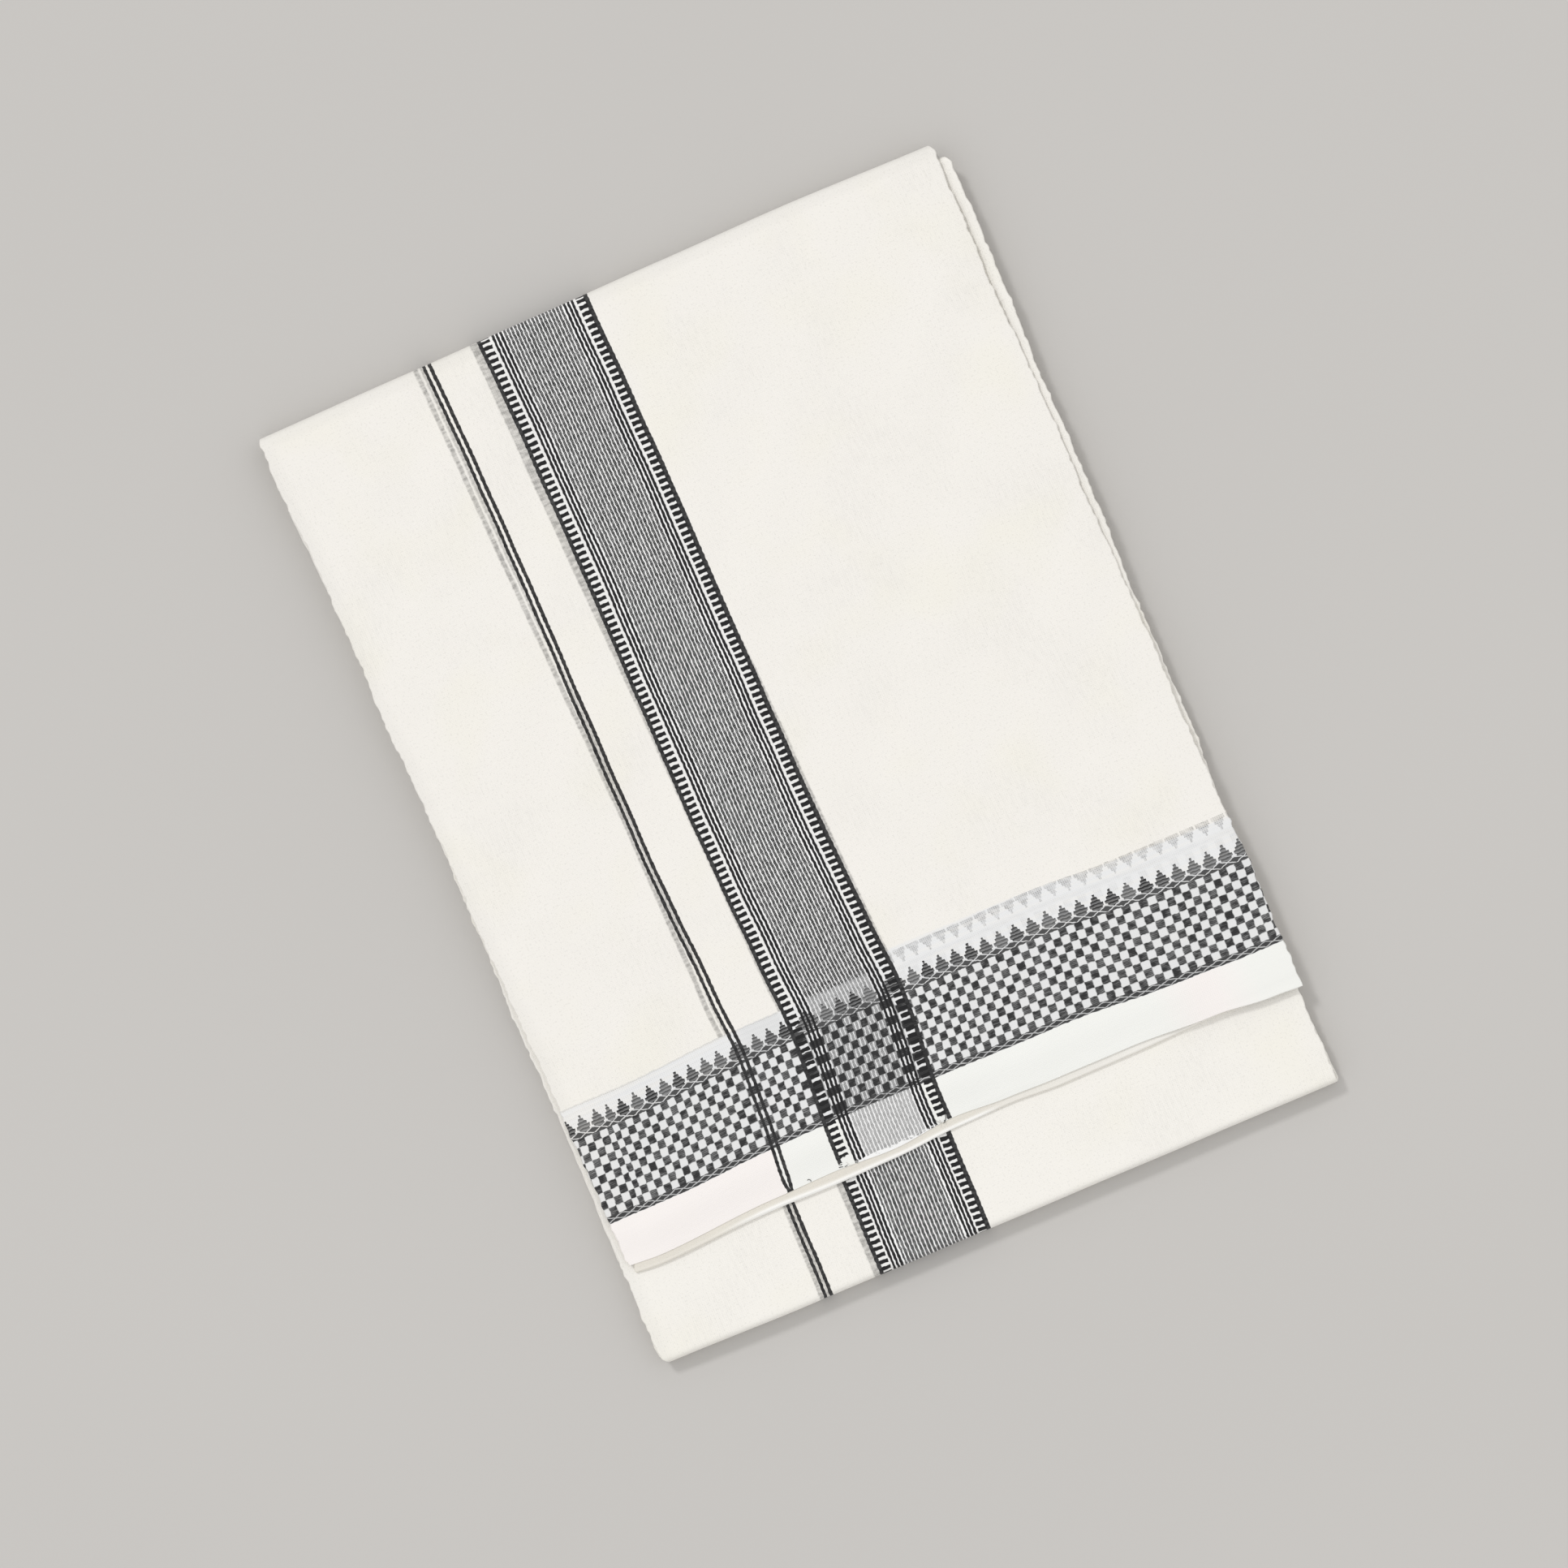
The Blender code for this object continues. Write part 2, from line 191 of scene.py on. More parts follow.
HIDDEN_FROM = -112.0  # the base panel is out of sight beyond here, under the flap
CORE_MAP_WIDTH = 30.0  # how wide the core's unseen middle is in its own map
MAP_MARGIN = 0.004

# --- Where the pattern lies on the packet ---
BORDER_LEFT = -38.46  # the broad border's left edge, at the top fold
FLAP_DRIFT = rows_of("y shift ghost wider nearer",
    (-118, 1.1, 0, 1, 0.2),
    (-110, 1.15, 0, 1, 0.3),
    (-104, 1.25, 0, 1, 0.75),
    (-97, 1.62, -0.08, 1, 1),
    (-88, 2.42, -0.28, 0.95, 0.8),
    (-70, 3.45, -0.6, 0.9, 0.5),
    (-55.8, 2.8, -0.6, 0.65, 0.45),
    (-41.7, 2.35, -0.5, 0.4, 0.4),
    (-23, 1.65, -0.3, 0.4, 0.2),
    (14.5, 1.2, -0.5, 0.35, 0.1),
    (40, 1.2, -1.1, 0.25, 0.05),
    (70.8, 1.25, -2, 0.15, 0),
    (108.3, 0.95, -2.5, 0.1, 0),
    (122.4, 0.7, -2.5, 0.1, 0),
    (147.5, 0, -2.3, 0.2, 0))
BASE_DRIFT = rows_of("y shift ghost wider nearer",
    (-147.5, -0.5, -1.7, 0.25, 0),
    (-116.8, 0, -1.6, 0.25, 0),
    (147.5, 0, -1.5, 0.1, 0))
WIDER_SHAPE = {"across": (0.0, 34.4, 56.0), "share": (0.0, 1.0, 0.0)}
NEARER_SHAPE = {"across": (-50.0, -16.0, 0.0), "share": (0.0, 1.0, 0.0)}
TIP_LINE = -67.77  # how far up the packet the woven points' tips lie, where they lie highest
TIP_BOW = rows_of("x drop",
    (-97.1, 1.48), (-83, 1.47), (-71.3, 1.06), (-60.7, 0.41),
    (-45.5, 0), (3.8, 0.18), (38.9, 0.88), (50.7, 1.29),
    (62.4, 2.23), (74.1, 2.99), (85.8, 3.52), (104.6, 3.89))

# --- The border's stripes, across from its left edge ---
BORDER_HALF = 17.2  # half the border's width, so its middle lies this far across
SIDES_CHANGE = (12.0, 22.0)  # between these, what differs on its two sides passes over
WARP_PITCH = 0.61
WEFT_PITCH = 0.488
WEFT_SHARE = 0.27  # half a weft thread's width, as a share of its pitch
EDGE_STRIPE = {"left": 1.1, "right": 1.28}  # how wide the border's outermost stripes are
LADDER = {"middle": 14.9, "width": 2.75}  # as far from the border's middle as this, on both sides
RUNG_PITCH = 2.04
RUNG_HALF = {"left": 0.59, "right": 0.65}  # half a black rung's height, in each ladder
FINE_LINE_PITCH = {"flap": 1.088, "base": 1.136}
FINE_LINE_SHARE = 0.36  # half a fine line's width, as a share of their pitch
FINE_LINES_END = 9.3
DASH_SLANT = 0.4  # the weft threads that cross the fine lines look slanted
EDGE_LINES_END = 12.2  # the border's threads are whitest between its lines, up to here
EDGE_LINES = rows_of("flap base width",  # how far from the border's middle
    (9.92, 10.24, 0.8),
    (11.15, 11.4, 0.8),
    (12.34, 12.6, 0.8))
THIN_STRIPES = rows_of("flap base width pull",
    (-16.95, -17.12, 1, 0.42),
    (-15.15, -15.38, 1.1, -0.42))
THIN_STRIPES_END = -10.0  # they all lie to the left of here
# The border and the thin stripes of the layer beneath
GHOST_STRIPES = rows_of("flap base width ink",
    (-17.1, -16.4, 1.4, 1),
    (-15.2, -14.6, 1.2, 0.9),
    (17.8, 17.65, 35.6, 1))
# How much further to the left its thin stripes lie, by the place along the cloth
GHOST_DRAW = {"low": -60.0, "high": -8.0, "at_low": 0.15, "at_high": 1.45}

# --- The woven end band, along from the tips ---
CHECKS_START = 6.21
CHECKS_END = 30.6
CHECK_HEIGHT = 2.439
CHAIN_MIDDLE = 5.35
LOWER_CHAIN_MIDDLE = 31.4
FIR_TIP = 0.36  # half as wide as a woven point's square tip
FIR_START = 0.98
FIR_PITCH = 0.97
FIR_TIERS = rows_of("along wider",  # how far below the tip a woven point widens, and by how much
    (0.98, 0.5),
    (1.95, 0.6),
    (2.92, 0.64),
    (3.98, -0.5))
# The end band beneath lies a little askew, shows to the right of "from", and has its points'
# tips as far along as "tips" at its middle
GHOST_BAND = {"from": 34.6, "middle": 85.8, "slope": 0.0216, "tips": -3.1, "height": 4.1,
              "width": 4.75, "fullest": 3.9, "gap": 0.24}
GHOST_CHAIN = {"middle": -1.9, "width": 1.4}
GHOST_CELLS = {"middle": 0.4, "width": 2.8}
# Its first weft line, "line" wide, and the rows after it show to the left of "to"
GHOST_ROWS = {"to": -1.0, "line": 0.45, "from": -2.6, "pitch": 1.46, "shift": 0.4, "half": 0.3}
GHOST_POINTS = rows_of("across point",  # points of the layer beneath, counted from left to right
    (33.45, -2),
    (90.45, 11),
    (142.75, 22))
CHAIN_LINE = 0.13  # half the width of the white lines between the chain's links
CHAIN_HALF = 1.1
CHAIN_SLOPE = 0.95
BRAID = {"slope": 0.8, "width": 0.28, "half": 1.0}  # the lower chain's, and half its height
POINT_SHIFT = 0.68  # where the points' tips lie, as a share of a pair of checks
POINT_WIDTH = 4.7
UNDER_BAND = -2.9  # the end band of the layer beneath begins to show here
BAND_END = 32.5
# Where the cooler zone starts along the cloth, and how cool it is, by the place across
COOL_START = {"low": 16.0, "high": 36.0, "at_low": UNDER_BAND, "at_high": -7.0}
COOLNESS = {"low": -62.0, "high": -45.0, "at_low": 0.6, "at_high": 1.0}
BESIDE_BORDER = {"middle": -7.2, "width": 14.4}
PINK_LEFT = -17.2  # the hem is pinkish left of here, and in a stretch near the right
PINK_RIGHT = {"middle": 117.0, "width": 18.0}
HEM = {"ladders": 43.4, "edges": 44.9, "end": 46.1,  # where parts of the border end in the hem
       "pinch": (40.5, 45.5)}  # where the thin stripes draw together
CHECK_COLUMNS = rows_of("across check",
    (-73.35, -2), (-64.15, 0), (-59.45, 1), (-56.05, 2), (-20.8, 10),
    (-18.3, 10.5), (-13.5, 11), (-2.25, 13.5), (0.15, 14), (3.85, 14.5),
    (8.35, 15), (21.6, 18), (26, 19), (30, 19.5), (35.15, 20),
    (63.15, 26), (102.35, 34), (112.75, 36), (152.15, 44))
PLAIN_CLOTH = 400.0  # far across from every stripe


def smooth(share):
    return share * share * (3 - 2 * share)


def between_rows(table, name, at):
    """The first and the named column, the row before each place, the step on, and the share."""
    keys = np.array([next(iter(row.values())) for row in table])
    values = np.array([row[name] for row in table])
    at = np.clip(at, keys[0], keys[-1])
    i = np.clip(np.searchsorted(keys, at, side="right") - 1, 0, len(keys) - 2)
    step = keys[i + 1] - keys[i]
    return keys, values, i, step, (at - keys[i]) / step


def eased(table, name, at):
    """The named column at places along the first one, eased between the rows."""
    _, values, i, _, share = between_rows(table, name, at)
    return values[i] + (values[i + 1] - values[i]) * smooth(share)


def flowing(table, name, at):
    """The named column along a smooth curve through the table's rows."""
    keys, values, i, step, t = between_rows(table, name, at)
    slopes = np.gradient(values, keys)
    return (values[i] * (1 + 2 * t) * (1 - t) ** 2 + values[i + 1] * t * t * (3 - 2 * t)
            + step * t * (1 - t) * (slopes[i] * (1 - t) - slopes[i + 1] * t))


def top_fold(x):
    return HALF_LENGTH - eased(ACROSS, "top", x)


def bottom_fold(x):
    return -HALF_LENGTH + eased(ACROSS, "bottom", x)


def edge_wave(y, phase):
    waves = sum(row["size"] * np.sin(2 * np.pi * y / row["length"] + phase * (i + 1))
                for i, row in enumerate(EDGE_WAVES))
    scallops = sum(row["size"] * np.sin(2 * np.pi * y / row["length"] + phase)
                   * (0.6 + 0.4 * np.sin(2 * np.pi * y / row["swell"] + phase * 3))
                   for row in EDGE_SCALLOPS)
    return waves + scallops


def corner_round(corner, y, top_setback=0.0, bottom_setback=0.0):
    """How far a side edge draws in, close to the folds at its two ends."""
    x = corner["way"] * HALF_WIDTH
    drawn = 0.0
    for name, room in (("inner" if top_setback else "top", top_fold(x) - top_setback - y),
                       ("bottom", y - bottom_fold(x) - bottom_setback)):
        near = np.clip(1 - room / (corner[name] * CORNER_SLANT), 0.0, 1.0)
        drawn = drawn + corner[name] * (1 - np.sqrt(1 - near * near))
    return drawn


def swell(x, y):
    mounds = sum(row["rise"] * np.exp(-((x - row["x"]) / row["across"]) ** 2
                                      - ((y - row["y"]) / row["along"]) ** 2) for row in SWELLS)
    ripples = sum(row["size"] * np.sin(2 * np.pi * (x / row["across"] + y / row["along"])
                                       + row["phase"]) for row in RIPPLES)
    return mounds + ripples


def settle(place):
    """Moves points of the plain stack to soft heights: pressed at the sides, swollen inside."""
    x, y, z = place[..., 0], place[..., 1], place[..., 2]
    inward = np.clip((HALF_WIDTH - np.abs(x)) / EDGE_PRESS_REACH, 0.0, 1.0)
    press = EDGE_PRESS * (1 - inward) ** 2
    share = z / FLAP_LEVEL
    return np.stack([x, y, z * (1 - press) + swell(x, y) * share * share], -1)


# --- The panels' middle lines: y, z and the way out, one row for each station ---
def level_run(start, stop, level, count, facing, spread=1.0):
    """Points along a flat stretch, from start up to but not including stop."""
    share = ((np.arange(count) / count) ** spread)[:, None]
    y = start + (stop - start) * share
    return y, np.full_like(y, level), np.zeros_like(y), np.full_like(y, facing)


def fold_round(fold, reach, low, high, start, stop):
    """Points round a fold; reach is negative where it opens the other way."""
    angle = np.linspace(start, stop, FOLD_STEPS + 1)[:, None] + np.zeros_like(fold)
    middle, half = (low + high) / 2, (high - low) / 2
    level, upright = np.abs(np.cos(angle)), np.abs(np.sin(angle))
    facing = np.sign(np.sin(angle))
    out_y = level ** (2 - FOLD_SQUARENESS) * math.copysign(half, reach)
    out_z = upright ** (2 - FOLD_SQUARENESS) * facing * abs(reach)
    size = np.hypot(out_y, out_z)
    return (fold - reach + level ** FOLD_SQUARENESS * reach,
            middle + upright ** FOLD_SQUARENESS * facing * half, out_y / size, out_z / size)


def fold_reach(low, high):
    return (high - low) / 2 * FOLD_FLATNESS


def end_lift(x, y, end):
    near = np.maximum(1 - (y - end) / END_LIFT_REACH, 0.0)
    return eased(ACROSS, "lift", x) * near * near


def rested(x, y, end, level, below, name, reach):
    """A thin free end's height, as it comes down from its level to rest on the layer below."""
    near = np.clip(1 - (y - end) / reach, 0.0, 1.0)
    return level + (below + eased(FREE_ENDS, name, x) - END_SINK - level) * smooth(near)


def crease_share(from_end):
    """One at the lower layers' end, falling to nought up their pinched crease."""
    return smooth(np.clip(1 - from_end / FOLD_LIP["width"], 0.0, 1.0))


def joined(*stretches):
    return [np.concatenate(parts) for parts in zip(*stretches)]


def lower_flap_level(x, y):
    """How high the lower flap's middle line lies: it lifts, then comes down to the base panel."""
    end = eased(ENDS, "lower", x)
    own = LOWER_FLAP_LEVEL + end_lift(x, y, end) * LOWER_LIFT_SHARE
    return rested(x, y, end, own, BASE_LEVEL, "lower", LOWER_REST_REACH)


def flap_line(x):
    """The end flap: from its free end, over the top fold, to the underside."""
    end = eased(ENDS, "flap", x)
    reach = fold_reach(UNDERSIDE_LEVEL, FLAP_LEVEL)
    fold = top_fold(x) - WALL / 2
    y, z, out_y, out_z = level_run(end + FREE_END, fold - reach, FLAP_LEVEL, FLAP_ROWS, 1.0)
    under = top_fold(x) - TOP_FOLD_TUCK
    own = z + end_lift(x, y, end)
    rest = rested(x, y, end, own, lower_flap_level(x, y), "flap", FLAP_REST_REACH)
    z = own + (rest - own) * eased(FREE_ENDS, "rest", x)
    return joined((y, z, out_y, out_z),
                  fold_round(fold, reach, UNDERSIDE_LEVEL, FLAP_LEVEL, math.pi / 2, -math.pi / 2),
                  level_run(under, under, UNDERSIDE_LEVEL, 1, -1.0))


def lower_flap_line(x):
    """The flap's lower layers, from their own end into the top fold, and round inside it."""
    end = eased(ENDS, "lower", x)
    low = UNDERSIDE_LEVEL + WALL + GAP
    reach = fold_reach(low, LOWER_FLAP_LEVEL)
    fold = top_fold(x) - WALL - GAP - WALL / 2
    y, z, out_y, out_z = level_run(end + FREE_END, fold - reach, LOWER_FLAP_LEVEL, LOWER_FLAP_ROWS,
                                   1.0, LOWER_ROW_SPREAD)
    lip = FOLD_LIP["rise"] * crease_share(y - end) * eased(FREE_ENDS, "crease", x)
    return joined((y, lower_flap_level(x, y) + lip, out_y, out_z),
                  fold_round(fold, reach, low, LOWER_FLAP_LEVEL, math.pi / 2, LOWER_FOLD_END))


def wrap_line(x):
    """The underside, round the bottom fold, the base panel, and into the inner top fold."""
    start = top_fold(x) - TOP_FOLD_TUCK
    reach = fold_reach(UNDERSIDE_LEVEL, BASE_LEVEL)
    fold = bottom_fold(x) + WALL / 2
    inner_low = 2 * CORE_LEVEL - BASE_LEVEL
    inner_reach = fold_reach(inner_low, BASE_LEVEL)
    inner_fold = top_fold(x) - INNER_FOLD_SETBACK - WALL / 2
    base = level_run(fold + reach, inner_fold - inner_reach, BASE_LEVEL, BASE_ROWS, 1.0)
    return joined(
        level_run(start, fold + reach, UNDERSIDE_LEVEL, UNDERSIDE_ROWS, -1.0),
        fold_round(fold, -reach, UNDERSIDE_LEVEL, BASE_LEVEL, -math.pi / 2, math.pi / 2),
        [part[1:] for part in base],
        fold_round(inner_fold, inner_reach, inner_low, BASE_LEVEL, math.pi / 2, INNER_FOLD_END))


def edges_of(table, phase, level, top_setback=0.0):
    """A stretch's side edges; below its level they pass over to the underside's."""
    def edges_at(y, z):
        share = np.clip((z - UNDERSIDE_LEVEL) / (level - UNDERSIDE_LEVEL), 0.0, 1.0)
        places = []
        for corner, turn in zip(CORNERS, (0.0, 2.0)):
            upper = eased(table, corner["side"], y) + edge_wave(y, phase + turn)
            under = eased(UNDERSIDE_EDGES, corner["side"], y) + edge_wave(y, turn)
            drawn_in = corner["way"] * (corner_round(corner, y, top_setback) + WALL / 2)
            places.append(under + (upper - under) * share - drawn_in)
        return places
    return edges_at


def lay_panel(line_at, edges_at):
    """A panel's outer skin as a grid of points, and the distance along it from its first row."""
    share = np.linspace(0.0, 1.0, PANEL_COLUMNS + 1)[None, :]
    x = (2 * share - 1) * HALF_WIDTH
    for _ in range(3):
        y, z, out_y, out_z = line_at(x)
        left, right = edges_at(y, z)
        x_rows = left + (right - left) * share
        x = x_rows.mean(0, keepdims=True)
    half = WALL / 2
    skin = settle(np.stack([x_rows, y + out_y * half, z + out_z * half], -1))
    steps = np.linalg.norm(np.diff(skin[..., 1:], axis=0), axis=-1)
    run = np.concatenate([np.zeros((1, skin.shape[1])), np.cumsum(steps, 0)])
    return skin, run


def normals_of(skin):
    """Outward unit normals of a panel's skin, whose rows run up the top face."""
    along, across = np.gradient(skin, axis=0), np.gradient(skin, axis=1)
    normal = np.cross(across, along)
    return normal / np.linalg.norm(normal, axis=-1, keepdims=True)


def rim_profile(layers):
    """A panel's edge, from its skin round to its inner face: out, down and distance so far."""
    half = WALL / 2
    rows, far, last = [], 0.0, np.zeros(2)
    for step in range(1, RIM_STEPS + 1):
        turn = math.pi * step / RIM_STEPS
        groove = RIM_GROOVE * (1 - abs(math.sin(layers * turn))) * math.sin(turn)
        here = np.array([half * math.sin(turn) - groove, half * (1 - math.cos(turn))])
        far += float(np.linalg.norm(here - last))
        rows.append((here[0], here[1], far))
        last = here
    rows.append((-RIM_RETURN, 2 * half, far + RIM_RETURN))
    return rows


def placed(name, data):
    """A new object in the scene."""
    made = bpy.data.objects.new(name, data)
    bpy.context.scene.collection.objects.link(made)
    return made


class Cloth:
    """Gathers the points, faces and cloth places of one piece."""

    def __init__(self):
        self.points, self.weave, self.flat, self.sides, self.faces = [], [], [], [], []
        self.count = 0

    def add(self, points, weave, flat, sides=None):
        """Adds a grid of points and gives their numbers."""
        sides = np.zeros_like(points) if sides is None else sides
        numbers = self.count + np.arange(points[..., 0].size).reshape(points.shape[:-1])
        self.count += numbers.size
        self.points.append(points.reshape(-1, 3))
        self.weave.append(weave.reshape(-1, 3))
        self.sides.append(sides.reshape(-1, 3))
        self.flat.append(flat.reshape(-1, 2))
        return numbers

    def fill(self, numbers):
        """Joins a grid of point numbers with four-sided faces."""
        quads = [numbers[:-1, :-1], numbers[:-1, 1:], numbers[1:, 1:], numbers[1:, :-1]]
        self.faces.extend(np.stack([corner.ravel() for corner in quads], -1).tolist())

    def make(self, name, material):
        mesh = bpy.data.meshes.new(name)
        mesh.from_pydata((np.concatenate(self.points) * MM).tolist(), [], self.faces)
        for label, values in (("weave", self.weave), ("sides", self.sides)):
            place = mesh.attributes.new(label, "FLOAT_VECTOR", "POINT")
            place.data.foreach_set("vector", np.concatenate(values).astype(np.float32).ravel())
        flat = np.concatenate(self.flat)
        flat = (flat - flat.min(0)) / (flat.max(0) - flat.min(0))
        flat = MAP_MARGIN + flat * (1 - 2 * MAP_MARGIN)
        corners = np.empty(len(mesh.loops), np.int32)
        mesh.loops.foreach_get("vertex_index", corners)
        layer = mesh.uv_layers.new(name="OFBake")
        layer.data.foreach_set("uv", flat[corners].astype(np.float32).ravel())
        mesh.shade_smooth()
        mesh.materials.append(material)
        return placed(name, mesh)


def add_rim(cloth, panel, places, out, layers, thin=None, raised=0.0):
    """Carries a panel round its edge at the given (row, column) places, out being the way out."""
    numbers, skin, weave, flat, sides, run = panel
    at = tuple(np.array(places).T)
    edge, normal = skin[at], normals_of(skin)[at]
    out = np.array(out)
    thick = np.ones((len(places), 1))
    if thin:
        near = np.clip(run[at] / THIN_REACH, 0.0, 1.0)[:, None]
        least = (eased(FREE_ENDS, thin, edge[:, 0]) / WALL)[:, None]
        thick = least + (1 - least) * smooth(near)
    deep = thick + raised / WALL
    wide, down = np.pad(out, ((0, 0), (0, 1))), np.pad(out * [1.0, -1.0], ((0, 0), (0, 1)))
    profile = rim_profile(layers)
    reach = [edge + wide * a * thick - normal * b * deep for a, b, far in profile]
    woven = [weave[at] + down * far for a, b, far in profile]
    mapped = [flat[at] + out * far for a, b, far in profile]
    beside = np.broadcast_to(sides[at], (len(reach), len(places), 3))
    rim = cloth.add(np.array(reach), np.array(woven), np.array(mapped), beside)
    cloth.fill(np.concatenate([numbers[at][None, :], rim])[::-1])


def make_panel(name, material, skin, run, weave, flat_run, thin, layers, raised=0.0):
    """One panel's cloth: its skin, with a rim down both sides and round its thin free end."""
    cloth = Cloth()
    flat = np.stack([skin[..., 0], flat_run], -1)
    x = skin[..., 0]
    sides = np.stack([x - x[:, :1], x[:, -1:] - x, top_fold(x) - skin[..., 1]], -1)
    numbers = cloth.add(skin, weave, flat, sides)
    cloth.fill(numbers)
    panel = numbers, skin, weave, flat, sides, run
    last_row, last_column = skin.shape[0] - 1, skin.shape[1] - 1
    left = [(row, 0) for row in range(last_row, -1, -1)]
    right = [(row, last_column) for row in range(last_row + 1)]
    left_out, right_out = [(-1.0, 0.0)] * len(left), [(1.0, 0.0)] * len(right)
    if thin:
        end = [(0, column) for column in range(1, last_column)]
        slant = math.sqrt(0.5)
        left_out[-1], right_out[0] = (-slant, -slant), (slant, -slant)
        add_rim(cloth, panel, left + end + right,
                left_out + [(0.0, -1.0)] * len(end) + right_out, layers, thin)
    else:
        add_rim(cloth, panel, left, left_out, layers)
        add_rim(cloth, panel, right, right_out, layers, raised=raised)
    return cloth.make(name, material)


def bumped(shape, across):
    return np.interp(across, shape["across"], shape["share"])


def woven_place(skin, laid, drift, tips=True):
    """Where points lie on the cloth; laid is their place along it, counted like y on the top."""
    x, y = skin[..., 0], skin[..., 1]
    across = x - BORDER_LEFT - flowing(drift, "shift", y)
    across = (across - flowing(drift, "wider", y) * bumped(WIDER_SHAPE, across)
              - flowing(drift, "nearer", y) * bumped(NEARER_SHAPE, across))
    along = TIP_LINE - laid - (flowing(TIP_BOW, "drop", x) if tips else 0.0)
    return np.stack([across, along, flowing(drift, "ghost", y)], -1)


def squeezed(run, stretches):
    """The distance along a panel with some stretches of it, (from, to, share), drawn together."""
    knots = sorted({float(run.min()), float(run.max())} | {k for s in stretches for k in s[:2]})
    values = [0.0]
    for low, high in zip(knots, knots[1:]):
        share = next((s[2] for s in stretches if s[0] <= low and high <= s[1]), 1.0)
        values.append(values[-1] + (high - low) * share)
    return np.interp(run, knots, values)


# --- The four stretches of cloth ---
def build_flap(material):
    skin, run = lay_panel(flap_line, edges_of(FLAP_EDGES, 0.0, FLAP_LEVEL))
    laid = skin[:1, :, 1] + run
    made = make_panel("flap_cloth", material, skin, run, woven_place(skin, laid, FLAP_DRIFT),
                      run, "flap", LAYER_EDGES)
    return made, skin, float(run.max())


def build_lower_flap(material):
    skin, run = lay_panel(lower_flap_line, edges_of(LOWER_FLAP_EDGES, 1.3, LOWER_FLAP_LEVEL))
    weave = woven_place(skin, skin[:1, :, 1] + run, FLAP_DRIFT)
    weave[..., 0] += PLAIN_CLOTH
    # Painted light: a highlight along the crease, and the lower layers paler towards the right,
    # where the flap shades their strip
    pale = eased(FREE_ENDS, "pale", skin[..., 0])
    weave[..., 2] = np.maximum(crease_share(run) * eased(FREE_ENDS, "crease", skin[..., 0]),
                               pale)
    flat_run = squeezed(run, [(12.0, float(run.max()), 0.35)])
    return make_panel("lower_flap_cloth", material, skin, run, weave, flat_run, "lower", 1), run


def build_wrap(material):
    edges = edges_of(BASE_EDGES, 2.6, BASE_LEVEL, INNER_FOLD_SETBACK)
    skin, run = lay_panel(wrap_line, edges)
    along, above = skin[:, :1, 1], skin[:, :1, 2] > CORE_LEVEL
    share = (along - RIGHT_ROLL["from"]) / (RIGHT_ROLL["to"] - RIGHT_ROLL["from"])
    raised = RIGHT_ROLL["rise"] * smooth(np.clip(share, 0.0, 1.0)) * above
    skin[:, -RIGHT_ROLL["columns"]:, 2] += raised
    laid = HALF_LENGTH + TOP_FOLD_TUCK + run
    middle = skin.shape[1] // 2
    hidden = np.nonzero((skin[:, middle, 1] > HIDDEN_FROM)
                        & (skin[:, middle, 2] > CORE_LEVEL))[0][0]
    flat_run = squeezed(run, [(float(run[hidden].mean()), float(run.max()) - 8.0, 0.14)])
    weave = woven_place(skin, laid, BASE_DRIFT, tips=False)
    made = make_panel("wrap_cloth", material, skin, run, weave, flat_run, None, LAYER_EDGES, raised)
    return made, run


def racetrack(inset):
    """The core cut along its length: share along, end bulge and height, inset from its skin."""
    half = CORE_HEIGHT / 2 - inset
    runs = np.linspace(-1.0, 1.0, CORE_ROWS + 1)
    turns = np.linspace(0.0, math.pi, FOLD_STEPS + 1)[1:-1]
    level, ends = np.full_like(runs, half), np.ones_like(turns)
    out, up = np.sin(turns) * half, np.cos(turns) * half
    along = np.concatenate([runs, ends, -runs, -ends, runs[:1]])
    bulge = np.concatenate([0 * runs, out, 0 * runs, -out, [0.0]])
    height = np.concatenate([level, up, -level, -up, [half]])
    return along, bulge, height


def core_ring(share_across, inset, inward):
    """A ring of the core at one place across; inward is its depth below the layers' crests."""
    along, bulge, height = racetrack(inset)
    reach = CORE_HEIGHT / 2 * FOLD_FLATNESS
    x = (2 * share_across - 1) * HALF_WIDTH
    low = bottom_fold(x) + WALL + CORE_SETBACK + reach
    high = top_fold(x) - INNER_FOLD_SETBACK - WALL - CORE_SETBACK - reach
    y = low + (high - low) * (along + 1) / 2 + bulge * FOLD_FLATNESS
    setbacks = (INNER_FOLD_SETBACK + WALL + CORE_SETBACK, WALL + CORE_SETBACK)
    left, right = (eased(CORE_EDGES, corner["side"], y) + edge_wave(y, phase)
                   - corner["way"] * corner_round(corner, y, *setbacks)
                   for corner, phase in zip(CORNERS, (4.0, 5.0)))
    across = left + (right - left) * share_across
    layer = np.floor(inset / (CORE_HEIGHT / 2 / CORE_LAYERS))
    wander = np.sin(2 * np.pi * y / LAYER_WANDER["length"] + layer * LAYER_WANDER["turn"])
    uneven = inward + LAYER_WANDER["size"] * (1 + wander) * layer / 3
    across = across + (uneven if share_across < 0.5 else -uneven) * (share_across in (0.0, 1.0))
    return settle(np.stack([across, y, CORE_LEVEL + height], -1))


